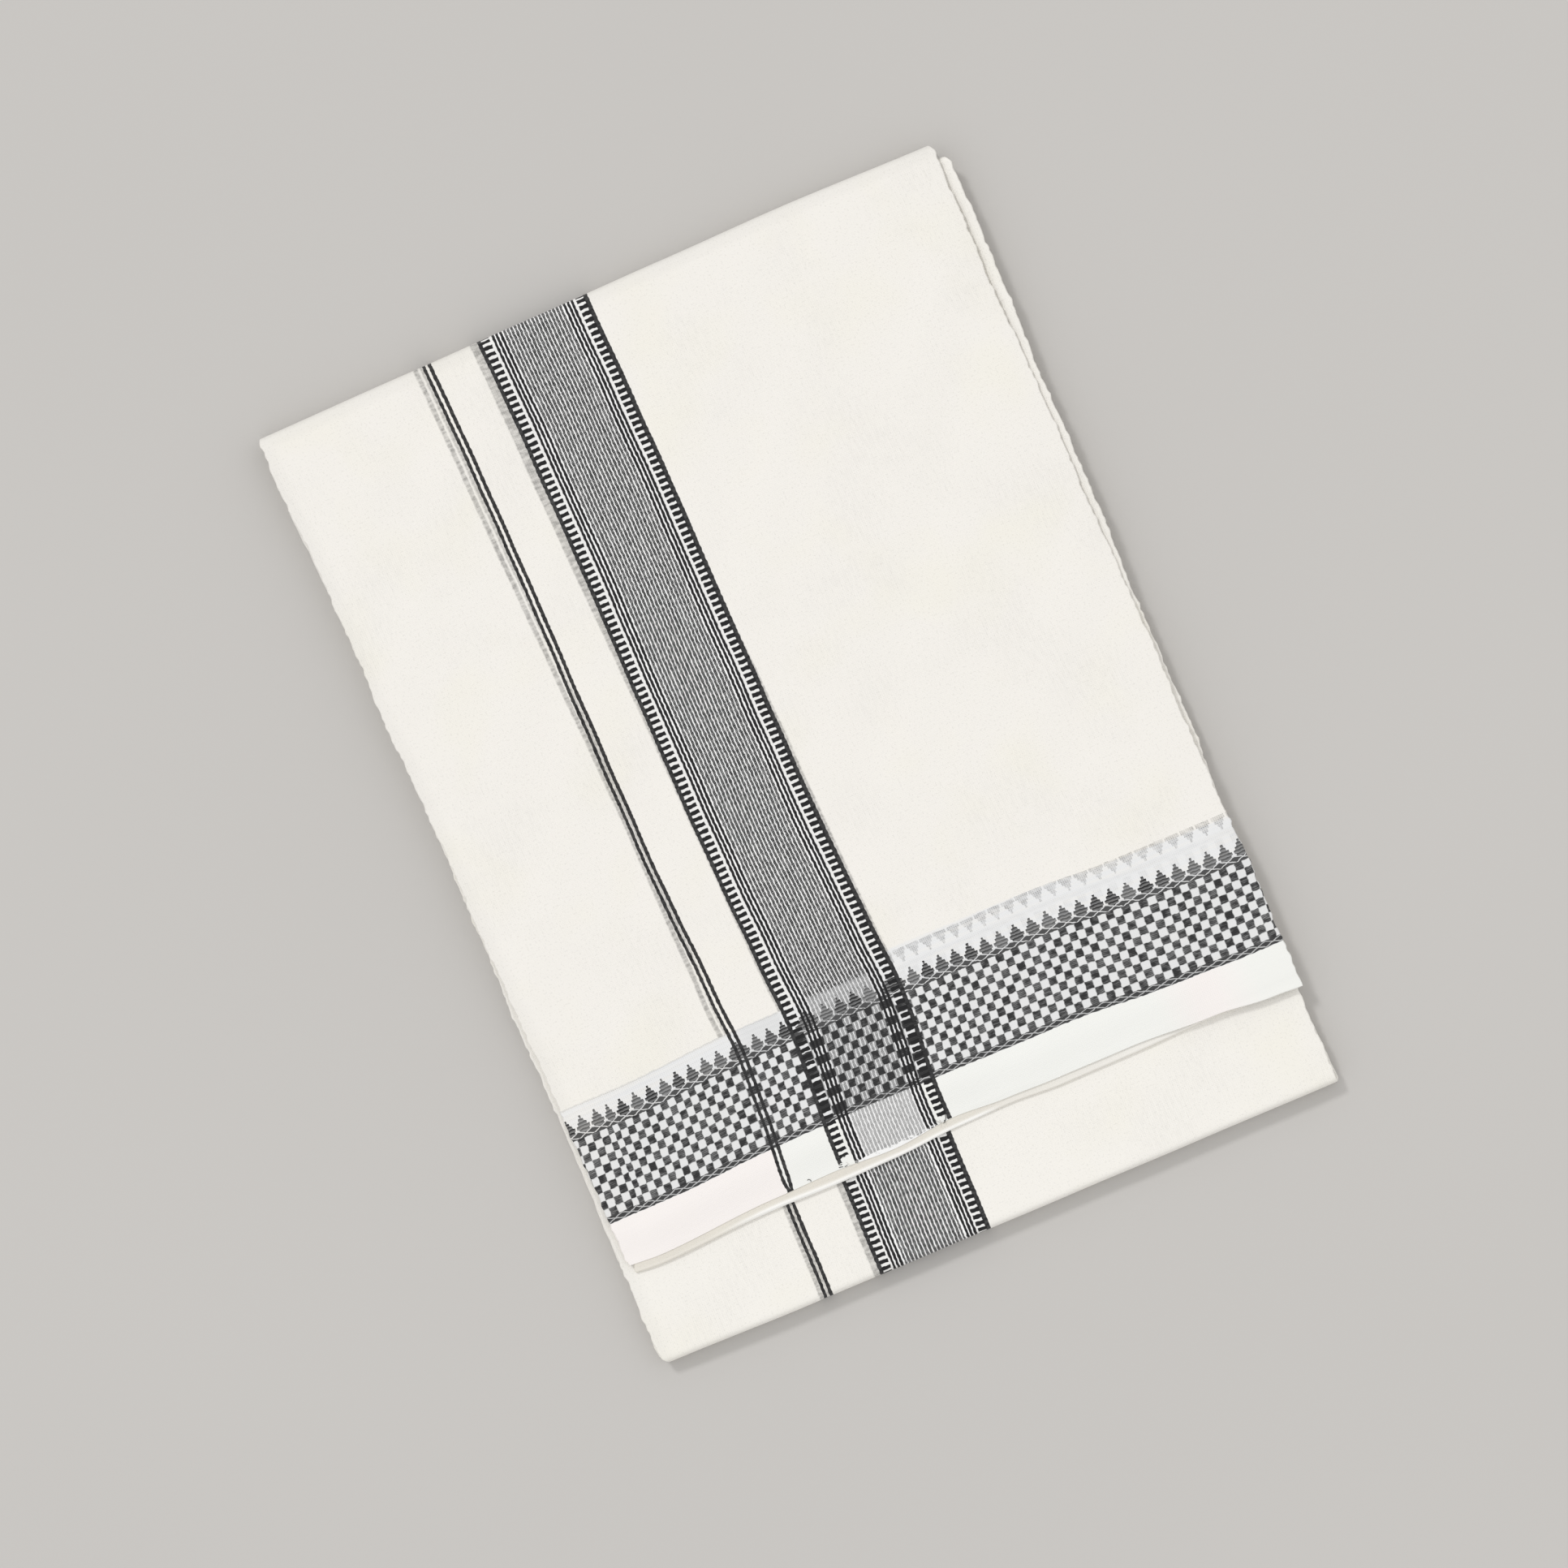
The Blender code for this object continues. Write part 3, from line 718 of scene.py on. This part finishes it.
def build_core(material):
    """The hidden turns of the roll, whose layers show as fine ridges down both sides."""
    layer = CORE_HEIGHT / 2 / CORE_LAYERS
    insets = [layer * step / LAYER_STEPS for step in range(CORE_LAYERS * LAYER_STEPS)]
    side = [(inset, layer * (1 - abs(math.sin(math.pi * inset / layer))) / 2) for inset in insets]
    body = [column / CORE_COLUMNS for column in range(1, CORE_COLUMNS)]
    rings = [core_ring(0.0, inset, inward) for inset, inward in reversed(side)]
    rings += [core_ring(share, 0.0, 0.0) for share in body]
    rings += [core_ring(1.0, inset, inward) for inset, inward in side]
    rings = np.array(rings)
    steps = np.linalg.norm(np.diff(rings, axis=1), axis=-1).max(0)
    round_it = np.broadcast_to(np.concatenate([[0.0], np.cumsum(steps)]), rings.shape[:-1])
    deep = 2 * np.array(insets)
    hidden = deep.max() + np.array(body) * CORE_MAP_WIDTH
    over = np.concatenate([deep.max() - deep[::-1], hidden, deep.max() + CORE_MAP_WIDTH + deep])
    over = np.broadcast_to(over[:, None], rings.shape[:-1])
    weave = np.stack([PLAIN_CLOTH + over, rings[..., 1] - PLAIN_CLOTH, 0 * over], -1)
    cloth = Cloth()
    numbers = cloth.add(rings, weave, np.stack([over, round_it], -1))
    cloth.fill(numbers[:, ::-1])
    return cloth.make("core_cloth", material), float(round_it.max())


# --- Loose threads at the end flap's frayed hem ---
STRANDS = rows_of("x y heading length curl black",
    (-3.4, -110.9, -85, 2.9, -70, 1),
    (-4.1, -112.6, -120, 0.9, 30, 1),
    (-6.6, -111.6, -70, 2, 60, 0.35),
    (-5.4, -111.9, -95, 1.8, -40, 0.2),
    (-37.8, -113.2, 5, 1.3, -30, 1),
    (-36.1, -113.5, -20, 1, 50, 0.9),
    (-35, -112.4, -80, 1.6, 35, 0.1),
    (-31.7, -113, -95, 1.2, -45, 0.8),
    (-47.6, -113, 40, 1.6, -160, 0.9))
STRAND_STEPS = 8
STRAND_SIDES = 6
STRAND_RADIUS = 0.1


def build_threads(material, skin):
    """Thin loose strands that lie on the hem, each a short bent tube."""
    cloth = Cloth()
    ring = np.linspace(0.0, 2 * np.pi, STRAND_SIDES + 1)
    top = skin[:FLAP_ROWS].reshape(-1, 3)
    for number, strand in enumerate(STRANDS):
        share = np.linspace(0.0, 1.0, STRAND_STEPS + 1)
        heading = np.radians(strand["heading"] + strand["curl"] * share)
        step = strand["length"] / STRAND_STEPS
        x = strand["x"] + np.cumsum(np.cos(heading)) * step
        y = strand["y"] + np.cumsum(np.sin(heading)) * step
        nearest = top[np.argmin(np.hypot(top[:, 0] - x[0], top[:, 1] - y[0]))]
        radius = STRAND_RADIUS * (1 - 0.5 * share ** 4)
        side = np.stack([-np.sin(heading), np.cos(heading), 0 * heading], -1)
        middle = np.stack([x, y, nearest[2] + STRAND_RADIUS + 0 * x], -1)
        offset = side[:, None, :] * np.cos(ring)[None, :, None]
        offset = offset + np.array([0.0, 0.0, 1.0]) * np.sin(ring)[None, :, None]
        points = middle[:, None, :] + offset * radius[:, None, None]
        weave = np.zeros_like(points)
        weave[..., 0], weave[..., 1] = strand["black"], share[:, None] * strand["length"]
        flat = np.stack(np.broadcast_arrays(number + 0.9 * ring[None, :] / (2 * np.pi),
                                            share[:, None]), -1)
        cloth.fill(cloth.add(points, weave, flat))
    return cloth.make("frayed_threads", material)


# --- Materials ---
BLACK_THREAD = (0.008, 0.008, 0.009, 1.0)
WHITE_THREAD = (0.857, 0.832, 0.790, 1.0)
CREAM_THREAD = (0.868, 0.845, 0.800, 1.0)
BORDER_THREAD = (0.900, 0.900, 0.900, 1.0)
LADDER_THREAD = (0.825, 0.820, 0.810, 1.0)
BAND_THREAD = (0.790, 0.795, 0.802, 1.0)
CHECK_THREAD = (0.720, 0.725, 0.730, 1.0)
# Painted shade: the lower layers' cream is darker and warmer, for their strip that lies in the
# flap's shadow
UNDER_THREAD_PAINTED_SHADE = (0.758, 0.721, 0.650, 1.0)
# Painted highlight along the lower layers' crease, also the painted light on their shaded strip
CREASE_AND_STRIP_PAINTED_LIGHT = (0.905, 0.895, 0.870, 1.0)
HEM_THREAD = (0.856, 0.859, 0.831, 1.0)
PINK_HEM_THREAD = (0.890, 0.849, 0.831, 1.0)
HOLE_SHADE = (0.350, 0.340, 0.320, 1.0)
YELLOWED_THREAD = (0.850, 0.825, 0.720, 1.0)
# Grey of the thread's slubs, also used as the painted shade along the top fold and the left edge
SLUB_GREY_AND_PAINTED_SHADE = (0.660, 0.645, 0.615, 1.0)
EDGE_SOFTNESS = 0.06
COTTON = {"Metallic": 0.0, "Sheen Weight": 0.12, "Sheen Roughness": 0.5, "Specular IOR Level": 0.3}
PAPER = {"Roughness": 0.95, "Specular IOR Level": 0.1}


class Field:
    """A value that varies over a surface; arithmetic with it adds the shader nodes for it."""

    def __init__(self, socket):
        self.socket, self.tree = socket, socket.id_data

    def math(self, operation, *others):
        return put(self.tree, "ShaderNodeMath", dict(enumerate((self, *others))),
                   operation=operation)

    def __add__(self, other):
        return self.math("ADD", other)

    def __sub__(self, other):
        return self.math("SUBTRACT", other)

    def __mul__(self, other):
        return self.math("MULTIPLY", other)

    def __truediv__(self, other):
        return self.math("DIVIDE", other)

    __radd__ = __add__

    def size(self):
        return self.math("ABSOLUTE")

    def whole(self):
        return self.math("FLOOR")

    def ramp(self, low, high, at_low=0.0, at_high=1.0):
        return put(self.tree, "ShaderNodeMapRange",
                   {0: self, 1: low, 2: high, 3: at_low, 4: at_high})

    def below(self, limit, soft=EDGE_SOFTNESS):
        """One where the value is less than the limit, with a soft change."""
        return (self - limit).ramp(-soft, soft, 1.0, 0.0)

    def above(self, limit, soft=EDGE_SOFTNESS):
        return (self - limit).ramp(-soft, soft)

    def stripe(self, middle, width, soft=EDGE_SOFTNESS):
        return (self - middle).size().below(width / 2, soft)

    def near(self, pitch, shift=0.0):
        """How far the value is from the nearest of the evenly spaced places."""
        return (self - shift).math("PINGPONG", pitch / 2)

    def blend(self, a, b):
        """The colour a where this is nought, and b where it is one."""
        return put(self.tree, "ShaderNodeMix", {0: self, 6: a, 7: b}, output=2, data_type="RGBA")

    def parts(self, kind="XYZ"):
        """The three parts of a vector, or of a colour."""
        first = put(self.tree, "ShaderNodeSeparate" + kind, {0: self})
        return [Field(socket) for socket in first.socket.node.outputs]


def put(tree, kind, inputs, output=0, **settings):
    """Adds a node and gives its output; its inputs are fields, numbers or colours."""
    made = tree.nodes.new(kind)
    for name, value in settings.items():
        setattr(made, name, value)
    for name, value in inputs.items():
        if isinstance(value, Field):
            tree.links.new(value.socket, made.inputs[name])
        else:
            made.inputs[name].default_value = value
    return Field(made.outputs[output])


def attribute(tree, name):
    return put(tree, "ShaderNodeAttribute", {}, output="Vector", attribute_name=name)


def most(first, *others):
    for other in others:
        first = first.math("MAXIMUM", other)
    return first


def vector(x, y):
    return put(x.tree, "ShaderNodeCombineXYZ", {0: x, 1: y})


def randomly(x, y):
    """A random number for each pair."""
    return put(x.tree, "ShaderNodeTexWhiteNoise", {"Vector": vector(x, y)})


def noise(place, scale, detail=0.0):
    """An uneven field, from nought to one."""
    return put(place.tree, "ShaderNodeTexNoise",
               {"Vector": place, "Scale": scale, "Detail": detail}, noise_dimensions="2D")


def colour_parts(noise_field):
    """Three more uneven fields of the same noise, each its own."""
    return Field(noise_field.socket.node.outputs["Color"]).parts("Color")


def wanders(place, scale, size):
    """Random shifts to either side."""
    return [part.ramp(0.25, 0.75, -size, size) for part in colour_parts(noise(place, scale))]


def counted(across, table, name):
    """How many of the table's columns or points lie to the left of here."""
    total = table[0][name]
    for row, after in zip(table, table[1:]):
        total = total + across.ramp(row["across"], after["across"], 0.0, after[name] - row[name])
    return total


def border_ink(across, along, grain, speck, banded):
    """How black the border's warp stripes are here, and the distance from its middle."""
    off = (across - BORDER_HALF).size()

    def sided(values):
        """A value that differs on the border's two sides."""
        return across.ramp(*SIDES_CHANGE, values["left"], values["right"])

    edge = ((off + sided(EDGE_STRIPE)).above(BORDER_HALF) * off.below(BORDER_HALF + 0.08)
            * grain.ramp(-0.5, 0.5, 1.0, 0.94))
    rung = (along.near(RUNG_PITCH) - sided(RUNG_HALF)).below(0.0)
    ladder = off.stripe(**LADDER) * rung
    panel = "flap" if banded else "base"
    lines = most(*[off.stripe(row[panel], row["width"]) for row in EDGE_LINES])
    dash = (along + across * DASH_SLANT).near(WEFT_PITCH).below(WEFT_SHARE * WEFT_PITCH, 0.06)
    pitch = FINE_LINE_PITCH[panel]
    fine = (off.near(pitch).below(pitch * FINE_LINE_SHARE, 0.08)
            * dash.ramp(0.0, 1.0, 0.76, 1.0) * grain.ramp(-0.4, 0.4, 1.12, 0.9))
    fine = most(fine, speck.ramp(0.64, 0.76, 0.0, 0.5)) * off.below(FINE_LINES_END)
    pinch = along.ramp(*HEM["pinch"]) if banded else 0.0
    thin = [(across - pinch * pinch * row["pull"]).stripe(row[panel], row["width"])
            for row in THIN_STRIPES]
    thin = most(*thin) * grain.ramp(-0.5, 0.5, 1.0, 0.95)
    if banded:
        in_band = along.above(UNDER_BAND, 0.4) * along.below(BAND_END)
        fine = (fine * in_band.ramp(0.0, 1.0, 1.0, 0.66)
                * along.ramp(BAND_END - 0.3, BAND_END + 0.3, 1.0, 0.6))
        ladder = ladder * (along + grain * 1.2).below(HEM["ladders"])
        edge = edge * (along + grain * 0.8).below(HEM["edges"])
    return most(edge, ladder, lines, fine, thin), off


def fir(side, down):
    """One inside a woven point, from how far to its side and how far below its tip here is."""
    reach = FIR_TIP
    for tier in FIR_TIERS:
        reach = reach + down.ramp(tier["along"] - 0.05, tier["along"] + 0.05, 0.0, tier["wider"])
    return (side - reach).below(0.0) * down.above(0.0)


def band_ink(across, along, off, grain):
    """How black the woven end band is here: points, chain, checks and a second chain."""
    column = counted(across, CHECK_COLUMNS, "check")
    row = (along - CHECKS_START) / CHECK_HEIGHT
    over = column.near(1.0, 0.25).ramp(0.22, 0.28, 1.0, -1.0)
    down = row.near(2.0, 0.5).ramp(0.45, 0.55, 1.0, -1.0)
    dark = over * down * 0.5 + 0.5
    tone = randomly((column * 2.0).whole(), row.whole())
    weft = along.near(WEFT_PITCH).below(WEFT_SHARE * WEFT_PITCH, 0.08)
    between = tone * 0.14 + 0.82 + off.below(17.3) * 0.14 + grain * 0.25
    checks = (dark * (along.above(CHECKS_START) * along.below(CHECKS_END))
              * most(weft, between.math("MINIMUM", 0.97)))

    from_tip = column.near(1.0, POINT_SHIFT)
    spread = from_tip * 2.0
    down = (along - CHAIN_MIDDLE).size()
    outside = down - spread * CHAIN_SLOPE
    point = (fir(from_tip * POINT_WIDTH, along)
             * (outside.above(CHAIN_LINE) * along.below(CHAIN_MIDDLE)))
    tier = ((along - FIR_START) / FIR_PITCH).math("FRACT")
    point_tone = randomly((column + 0.82).whole(), 0.5)
    points = point * (tier.ramp(0.25, 0.8, 0.92, 0.68) + point_tone.ramp(0.0, 1.0, -0.05, 0.1))

    within = down.below(CHAIN_HALF)
    chain = outside.above(CHAIN_LINE) * within * along.above(CHAIN_MIDDLE)
    chain = most(most(chain, outside.below(-CHAIN_LINE)) * 0.92, within * 0.16)
    down = (along - LOWER_CHAIN_MIDDLE).size()
    braid = (down - spread * BRAID["slope"]).stripe(0.0, BRAID["width"]).ramp(0.0, 1.0, 0.95, 0.36)
    return most(checks, points, chain, down.below(BRAID["half"]) * braid)


def ghost_ink(across, along, shown, dots, grain, banded):
    """The layer beneath, faint through the cloth: its border, and its end band upside down."""
    beneath = across - shown
    if banded:
        beneath = beneath + along.ramp(**GHOST_DRAW) * across.below(THIN_STRIPES_END)
    border = most(*[beneath.stripe(row["flap" if banded else "base"], row["width"], 0.25)
                    * row["ink"] for row in GHOST_STRIPES])
    border = border * dots.ramp(0.0, 1.0, 0.38, 0.58) * grain.ramp(-0.5, 0.5, 0.55, 1.4)
    if not banded:
        return border
    turned = along + (across - GHOST_BAND["middle"]) * GHOST_BAND["slope"]
    point = counted(across, GHOST_POINTS, "point").near(1.0)
    tip_down = (turned * -1.0 + GHOST_BAND["tips"]).math("MINIMUM", GHOST_BAND["fullest"])
    wedge = (fir(point * GHOST_BAND["width"], tip_down)
             * turned.above(GHOST_BAND["tips"] - GHOST_BAND["height"]))
    cell = point.above(GHOST_BAND["gap"], 0.04) * turned.stripe(**GHOST_CELLS, soft=0.3) * 0.25
    chain = turned.stripe(**GHOST_CHAIN, soft=0.5) * 0.22
    right = (most(wedge, cell, chain) * across.above(GHOST_BAND["from"])
             * dots.ramp(0.0, 1.0, 0.2, 0.9) * grain.ramp(-0.5, 0.5, 0.55, 1.5))
    left = across.below(GHOST_ROWS["to"])
    line = along.stripe(UNDER_BAND, GHOST_ROWS["line"]) * left * dots.ramp(0.0, 1.0, 0.14, 0.6)
    rows = (along.near(GHOST_ROWS["pitch"], GHOST_ROWS["shift"]).below(GHOST_ROWS["half"], 0.4)
            * along.above(GHOST_ROWS["from"]) * along.below(CHECKS_START)
            * left * dots.ramp(0.0, 1.0, 0.03, 0.3))
    return most(border * along.below(UNDER_BAND), right, rows, line)


def new_material(name, settings):
    """A new material, whose shader has these plain settings."""
    material = bpy.data.materials.new(name)
    material.use_nodes = True
    shader = material.node_tree.nodes["Principled BSDF"]
    for setting, value in settings.items():
        shader.inputs[setting].default_value = value
    return material, material.node_tree, shader


def banded_white(white, place, along, across, off):
    """The flap's white threads, cooler where its end band lies; also the cool zone and the hem."""
    x, y, _ = place
    cool = (along - across.ramp(**COOL_START)).above(0.0, 0.4) * along.below(BAND_END)
    streak = noise(vector(x * 0.06, y), 0.9).ramp(0.3, 0.7, 0.7, 1.15)
    white = (cool * streak * across.ramp(**COOLNESS)).blend(white, BAND_THREAD)
    checked = along.above(CHECKS_START) * along.below(BAND_END)
    white = (checked * off.ramp(9.0, 18.0, 0.3, 0.6)).blend(white, CHECK_THREAD)
    beside = cool * across.stripe(**BESIDE_BORDER, soft=2.0) * along.below(CHECKS_START) * 0.85
    white = beside.blend(white, CHECK_THREAD)
    hem = along.above(BAND_END)
    pink = most(across.below(PINK_LEFT), across.stripe(**PINK_RIGHT, soft=6.0))
    tint = pink.blend(HEM_THREAD, PINK_HEM_THREAD)
    return (hem * off.above(EDGE_LINES_END, 0.3)).blend(white, tint), cool, hem


def woven_cotton(name, body_thread, bordered=True, banded=False):
    """White cotton, with its black woven border and its end band where it has them."""
    material, tree, shader = new_material(name, COTTON)
    place = attribute(tree, "weave")
    parts = place.parts()
    grain = noise(vector(parts[0] * 0.35, parts[1]), 1.1, 1.0).ramp(0.25, 0.75, -0.5, 0.5)
    over, down = parts[0].near(WARP_PITCH), parts[1].near(WEFT_PITCH)
    hole = over.ramp(0.16, 0.3) * down.ramp(0.12, 0.24)
    tired = noise(place, 0.034, 2.0)
    white = tired.ramp(0.5, 0.75, 0.0, 0.35).blend(body_thread, YELLOWED_THREAD)
    if bordered:
        # Painted shade: greyer towards the top fold and the left edge, where the folded cloth
        # rounds away from the light
        left, _, top = attribute(tree, "sides").parts()
        painted_edge_shade = most(top.ramp(0.0, 4.6, 0.56, 0.0), left.ramp(0.5, 4.2, 0.2, 0.0))
        white = painted_edge_shade.blend(white, SLUB_GREY_AND_PAINTED_SHADE)
    worn = colour_parts(tired)[1]
    slubs = noise(vector(parts[0], parts[1] * 0.22), 1.2).ramp(0.35, 0.75)
    white = (slubs * worn.ramp(0.45, 0.7, 0.02, 0.13)).blend(white, SLUB_GREY_AND_PAINTED_SHADE)
    speck = noise(place, 1.7)
    white = speck.ramp(0.7, 0.8, 0.0, 0.12).blend(white, HOLE_SHADE)
    # Painted light on the lower layers: a highlight along their crease and a paler strip towards
    # the right
    if not bordered:
        white = parts[2].blend(white, CREASE_AND_STRIP_PAINTED_LIGHT)
    open_weave = worn.ramp(0.45, 0.7, 0.05, 0.3) + grain * -0.02
    ink = 0.0
    if bordered:
        slow, quick = wanders(place, 0.05, 0.12), wanders(place, 0.9, 0.09)
        across = parts[0] + slow[0] + quick[0]
        along = parts[1] + slow[1] + quick[1]
        ink, off = border_ink(across, along, grain, speck, banded)
        ghost = ghost_ink(across, along, parts[2], hole, grain, banded)
        white = off.below(BORDER_HALF, 0.3).blend(white, LADDER_THREAD)
        white = off.below(EDGE_LINES_END, 0.3).blend(white, BORDER_THREAD)
        if banded:
            ink = most(ink, band_ink(across, along, off, grain))
            ink = ink * (along + grain * 1.2 + across * 0.02).below(HEM["end"], 0.2)
            white, cool, hem = banded_white(white, parts, along, across, off)
            open_weave = open_weave + cool * 0.06 + hem * -0.06
        ink = most(ink, ghost * ink.below(0.3) * off.above(17.0))
    white = (hole * open_weave).blend(white, HOLE_SHADE)
    thread = over.ramp(0.0, 0.3, 1.0, 0.0) + down.ramp(0.0, 0.24, 1.0, 0.0) + grain * 1.2
    bump = put(tree, "ShaderNodeBump", {"Strength": 0.25, "Distance": 0.00008, "Height": thread})
    for socket, field in (("Base Color", ink.blend(white, BLACK_THREAD) if bordered else white),
                          ("Roughness", grain * 0.06 + 0.86 + ink * -0.1), ("Normal", bump)):
        tree.links.new(field.socket, shader.inputs[socket])
    return material


def strand_cotton(name):
    """Loose thread, white to black by the strand."""
    material, tree, shader = new_material(name, {"Metallic": 0.0})
    black, length, _ = attribute(tree, "weave").parts()
    ink = black + length.near(0.35).ramp(0.0, 0.17, -0.08, 0.08)
    tree.links.new(ink.blend(WHITE_THREAD, BLACK_THREAD).socket, shader.inputs["Base Color"])
    tree.links.new(ink.ramp(0.0, 1.0, 0.88, 0.76).socket, shader.inputs["Roughness"])
    return material


def floor_paper():
    """Pale, faintly uneven studio paper."""
    material, tree, shader = new_material("studio_paper", PAPER)
    cloud = noise(put(tree, "ShaderNodeTexCoord", {}, output="Object"), 6.0)
    tone = cloud.blend((0.545, 0.530, 0.512, 1.0), (0.560, 0.545, 0.527, 1.0))
    tree.links.new(tone.socket, shader.inputs["Base Color"])
    return material


# --- The pieces, each riding the one body ---
flap, flap_skin, flap_length = build_flap(woven_cotton("flap_weave", WHITE_THREAD, banded=True))
# The lower layers' colour carries painted shade, for the flap's shadow on them
lower_flap, lower_run = build_lower_flap(
    woven_cotton("lower_flap_weave", UNDER_THREAD_PAINTED_SHADE, bordered=False))
wrap, wrap_run = build_wrap(woven_cotton("wrap_weave", CREAM_THREAD))
core, core_round = build_core(woven_cotton("core_weave", WHITE_THREAD, bordered=False))
threads = build_threads(strand_cotton("loose_thread"), flap_skin)

for piece, node in ((flap, "end_flap"), (lower_flap, "lower_flap"), (wrap, "outer_wrap"),
                    (core, "folded_core")):
    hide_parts(node)
for piece in (flap, lower_flap, wrap, core, threads):
    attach(piece, "root")

# --- Floor, light and camera ---
FLOOR_SIZE = 3.0
bpy.ops.mesh.primitive_plane_add(size=FLOOR_SIZE)
floor = bpy.context.object
floor.name = "studio_floor"
floor.data.materials.append(floor_paper())

SUN_FROM = Vector((-0.36, 0.93, 1.035))
sun_light = bpy.data.lights.new("key_light", "SUN")
sun_light.energy = 0.85
sun_light.angle = math.radians(10.0)
placed("key_light", sun_light).rotation_euler = SUN_FROM.to_track_quat("Z", "Y").to_euler()

world = bpy.data.worlds.new("studio")
world.use_nodes = True
world.node_tree.nodes["Background"].inputs["Color"].default_value = (1.0, 0.995, 0.985, 1.0)
world.node_tree.nodes["Background"].inputs["Strength"].default_value = 0.865
bpy.context.scene.world = world

CAMERA_TURN = math.radians(-23.5)  # the camera's turn about the vertical
CAMERA_PLACE = Vector((-7.99, -5.16, 3000.0)) * MM
VIEW_WIDTH = 453.1  # what the camera takes in, at the height of the packet's top
lens = bpy.data.cameras.new("camera")
lens.sensor_width = 36.0
lens.lens = lens.sensor_width * (CAMERA_PLACE.z / MM - FLAP_LEVEL) / VIEW_WIDTH
lens.clip_end = 10.0
camera = placed("camera", lens)
camera.matrix_world = Matrix.Translation(CAMERA_PLACE) @ Matrix.Rotation(CAMERA_TURN, 4, "Z")
bpy.context.scene.camera = camera
bpy.context.scene.view_settings.view_transform = "Standard"
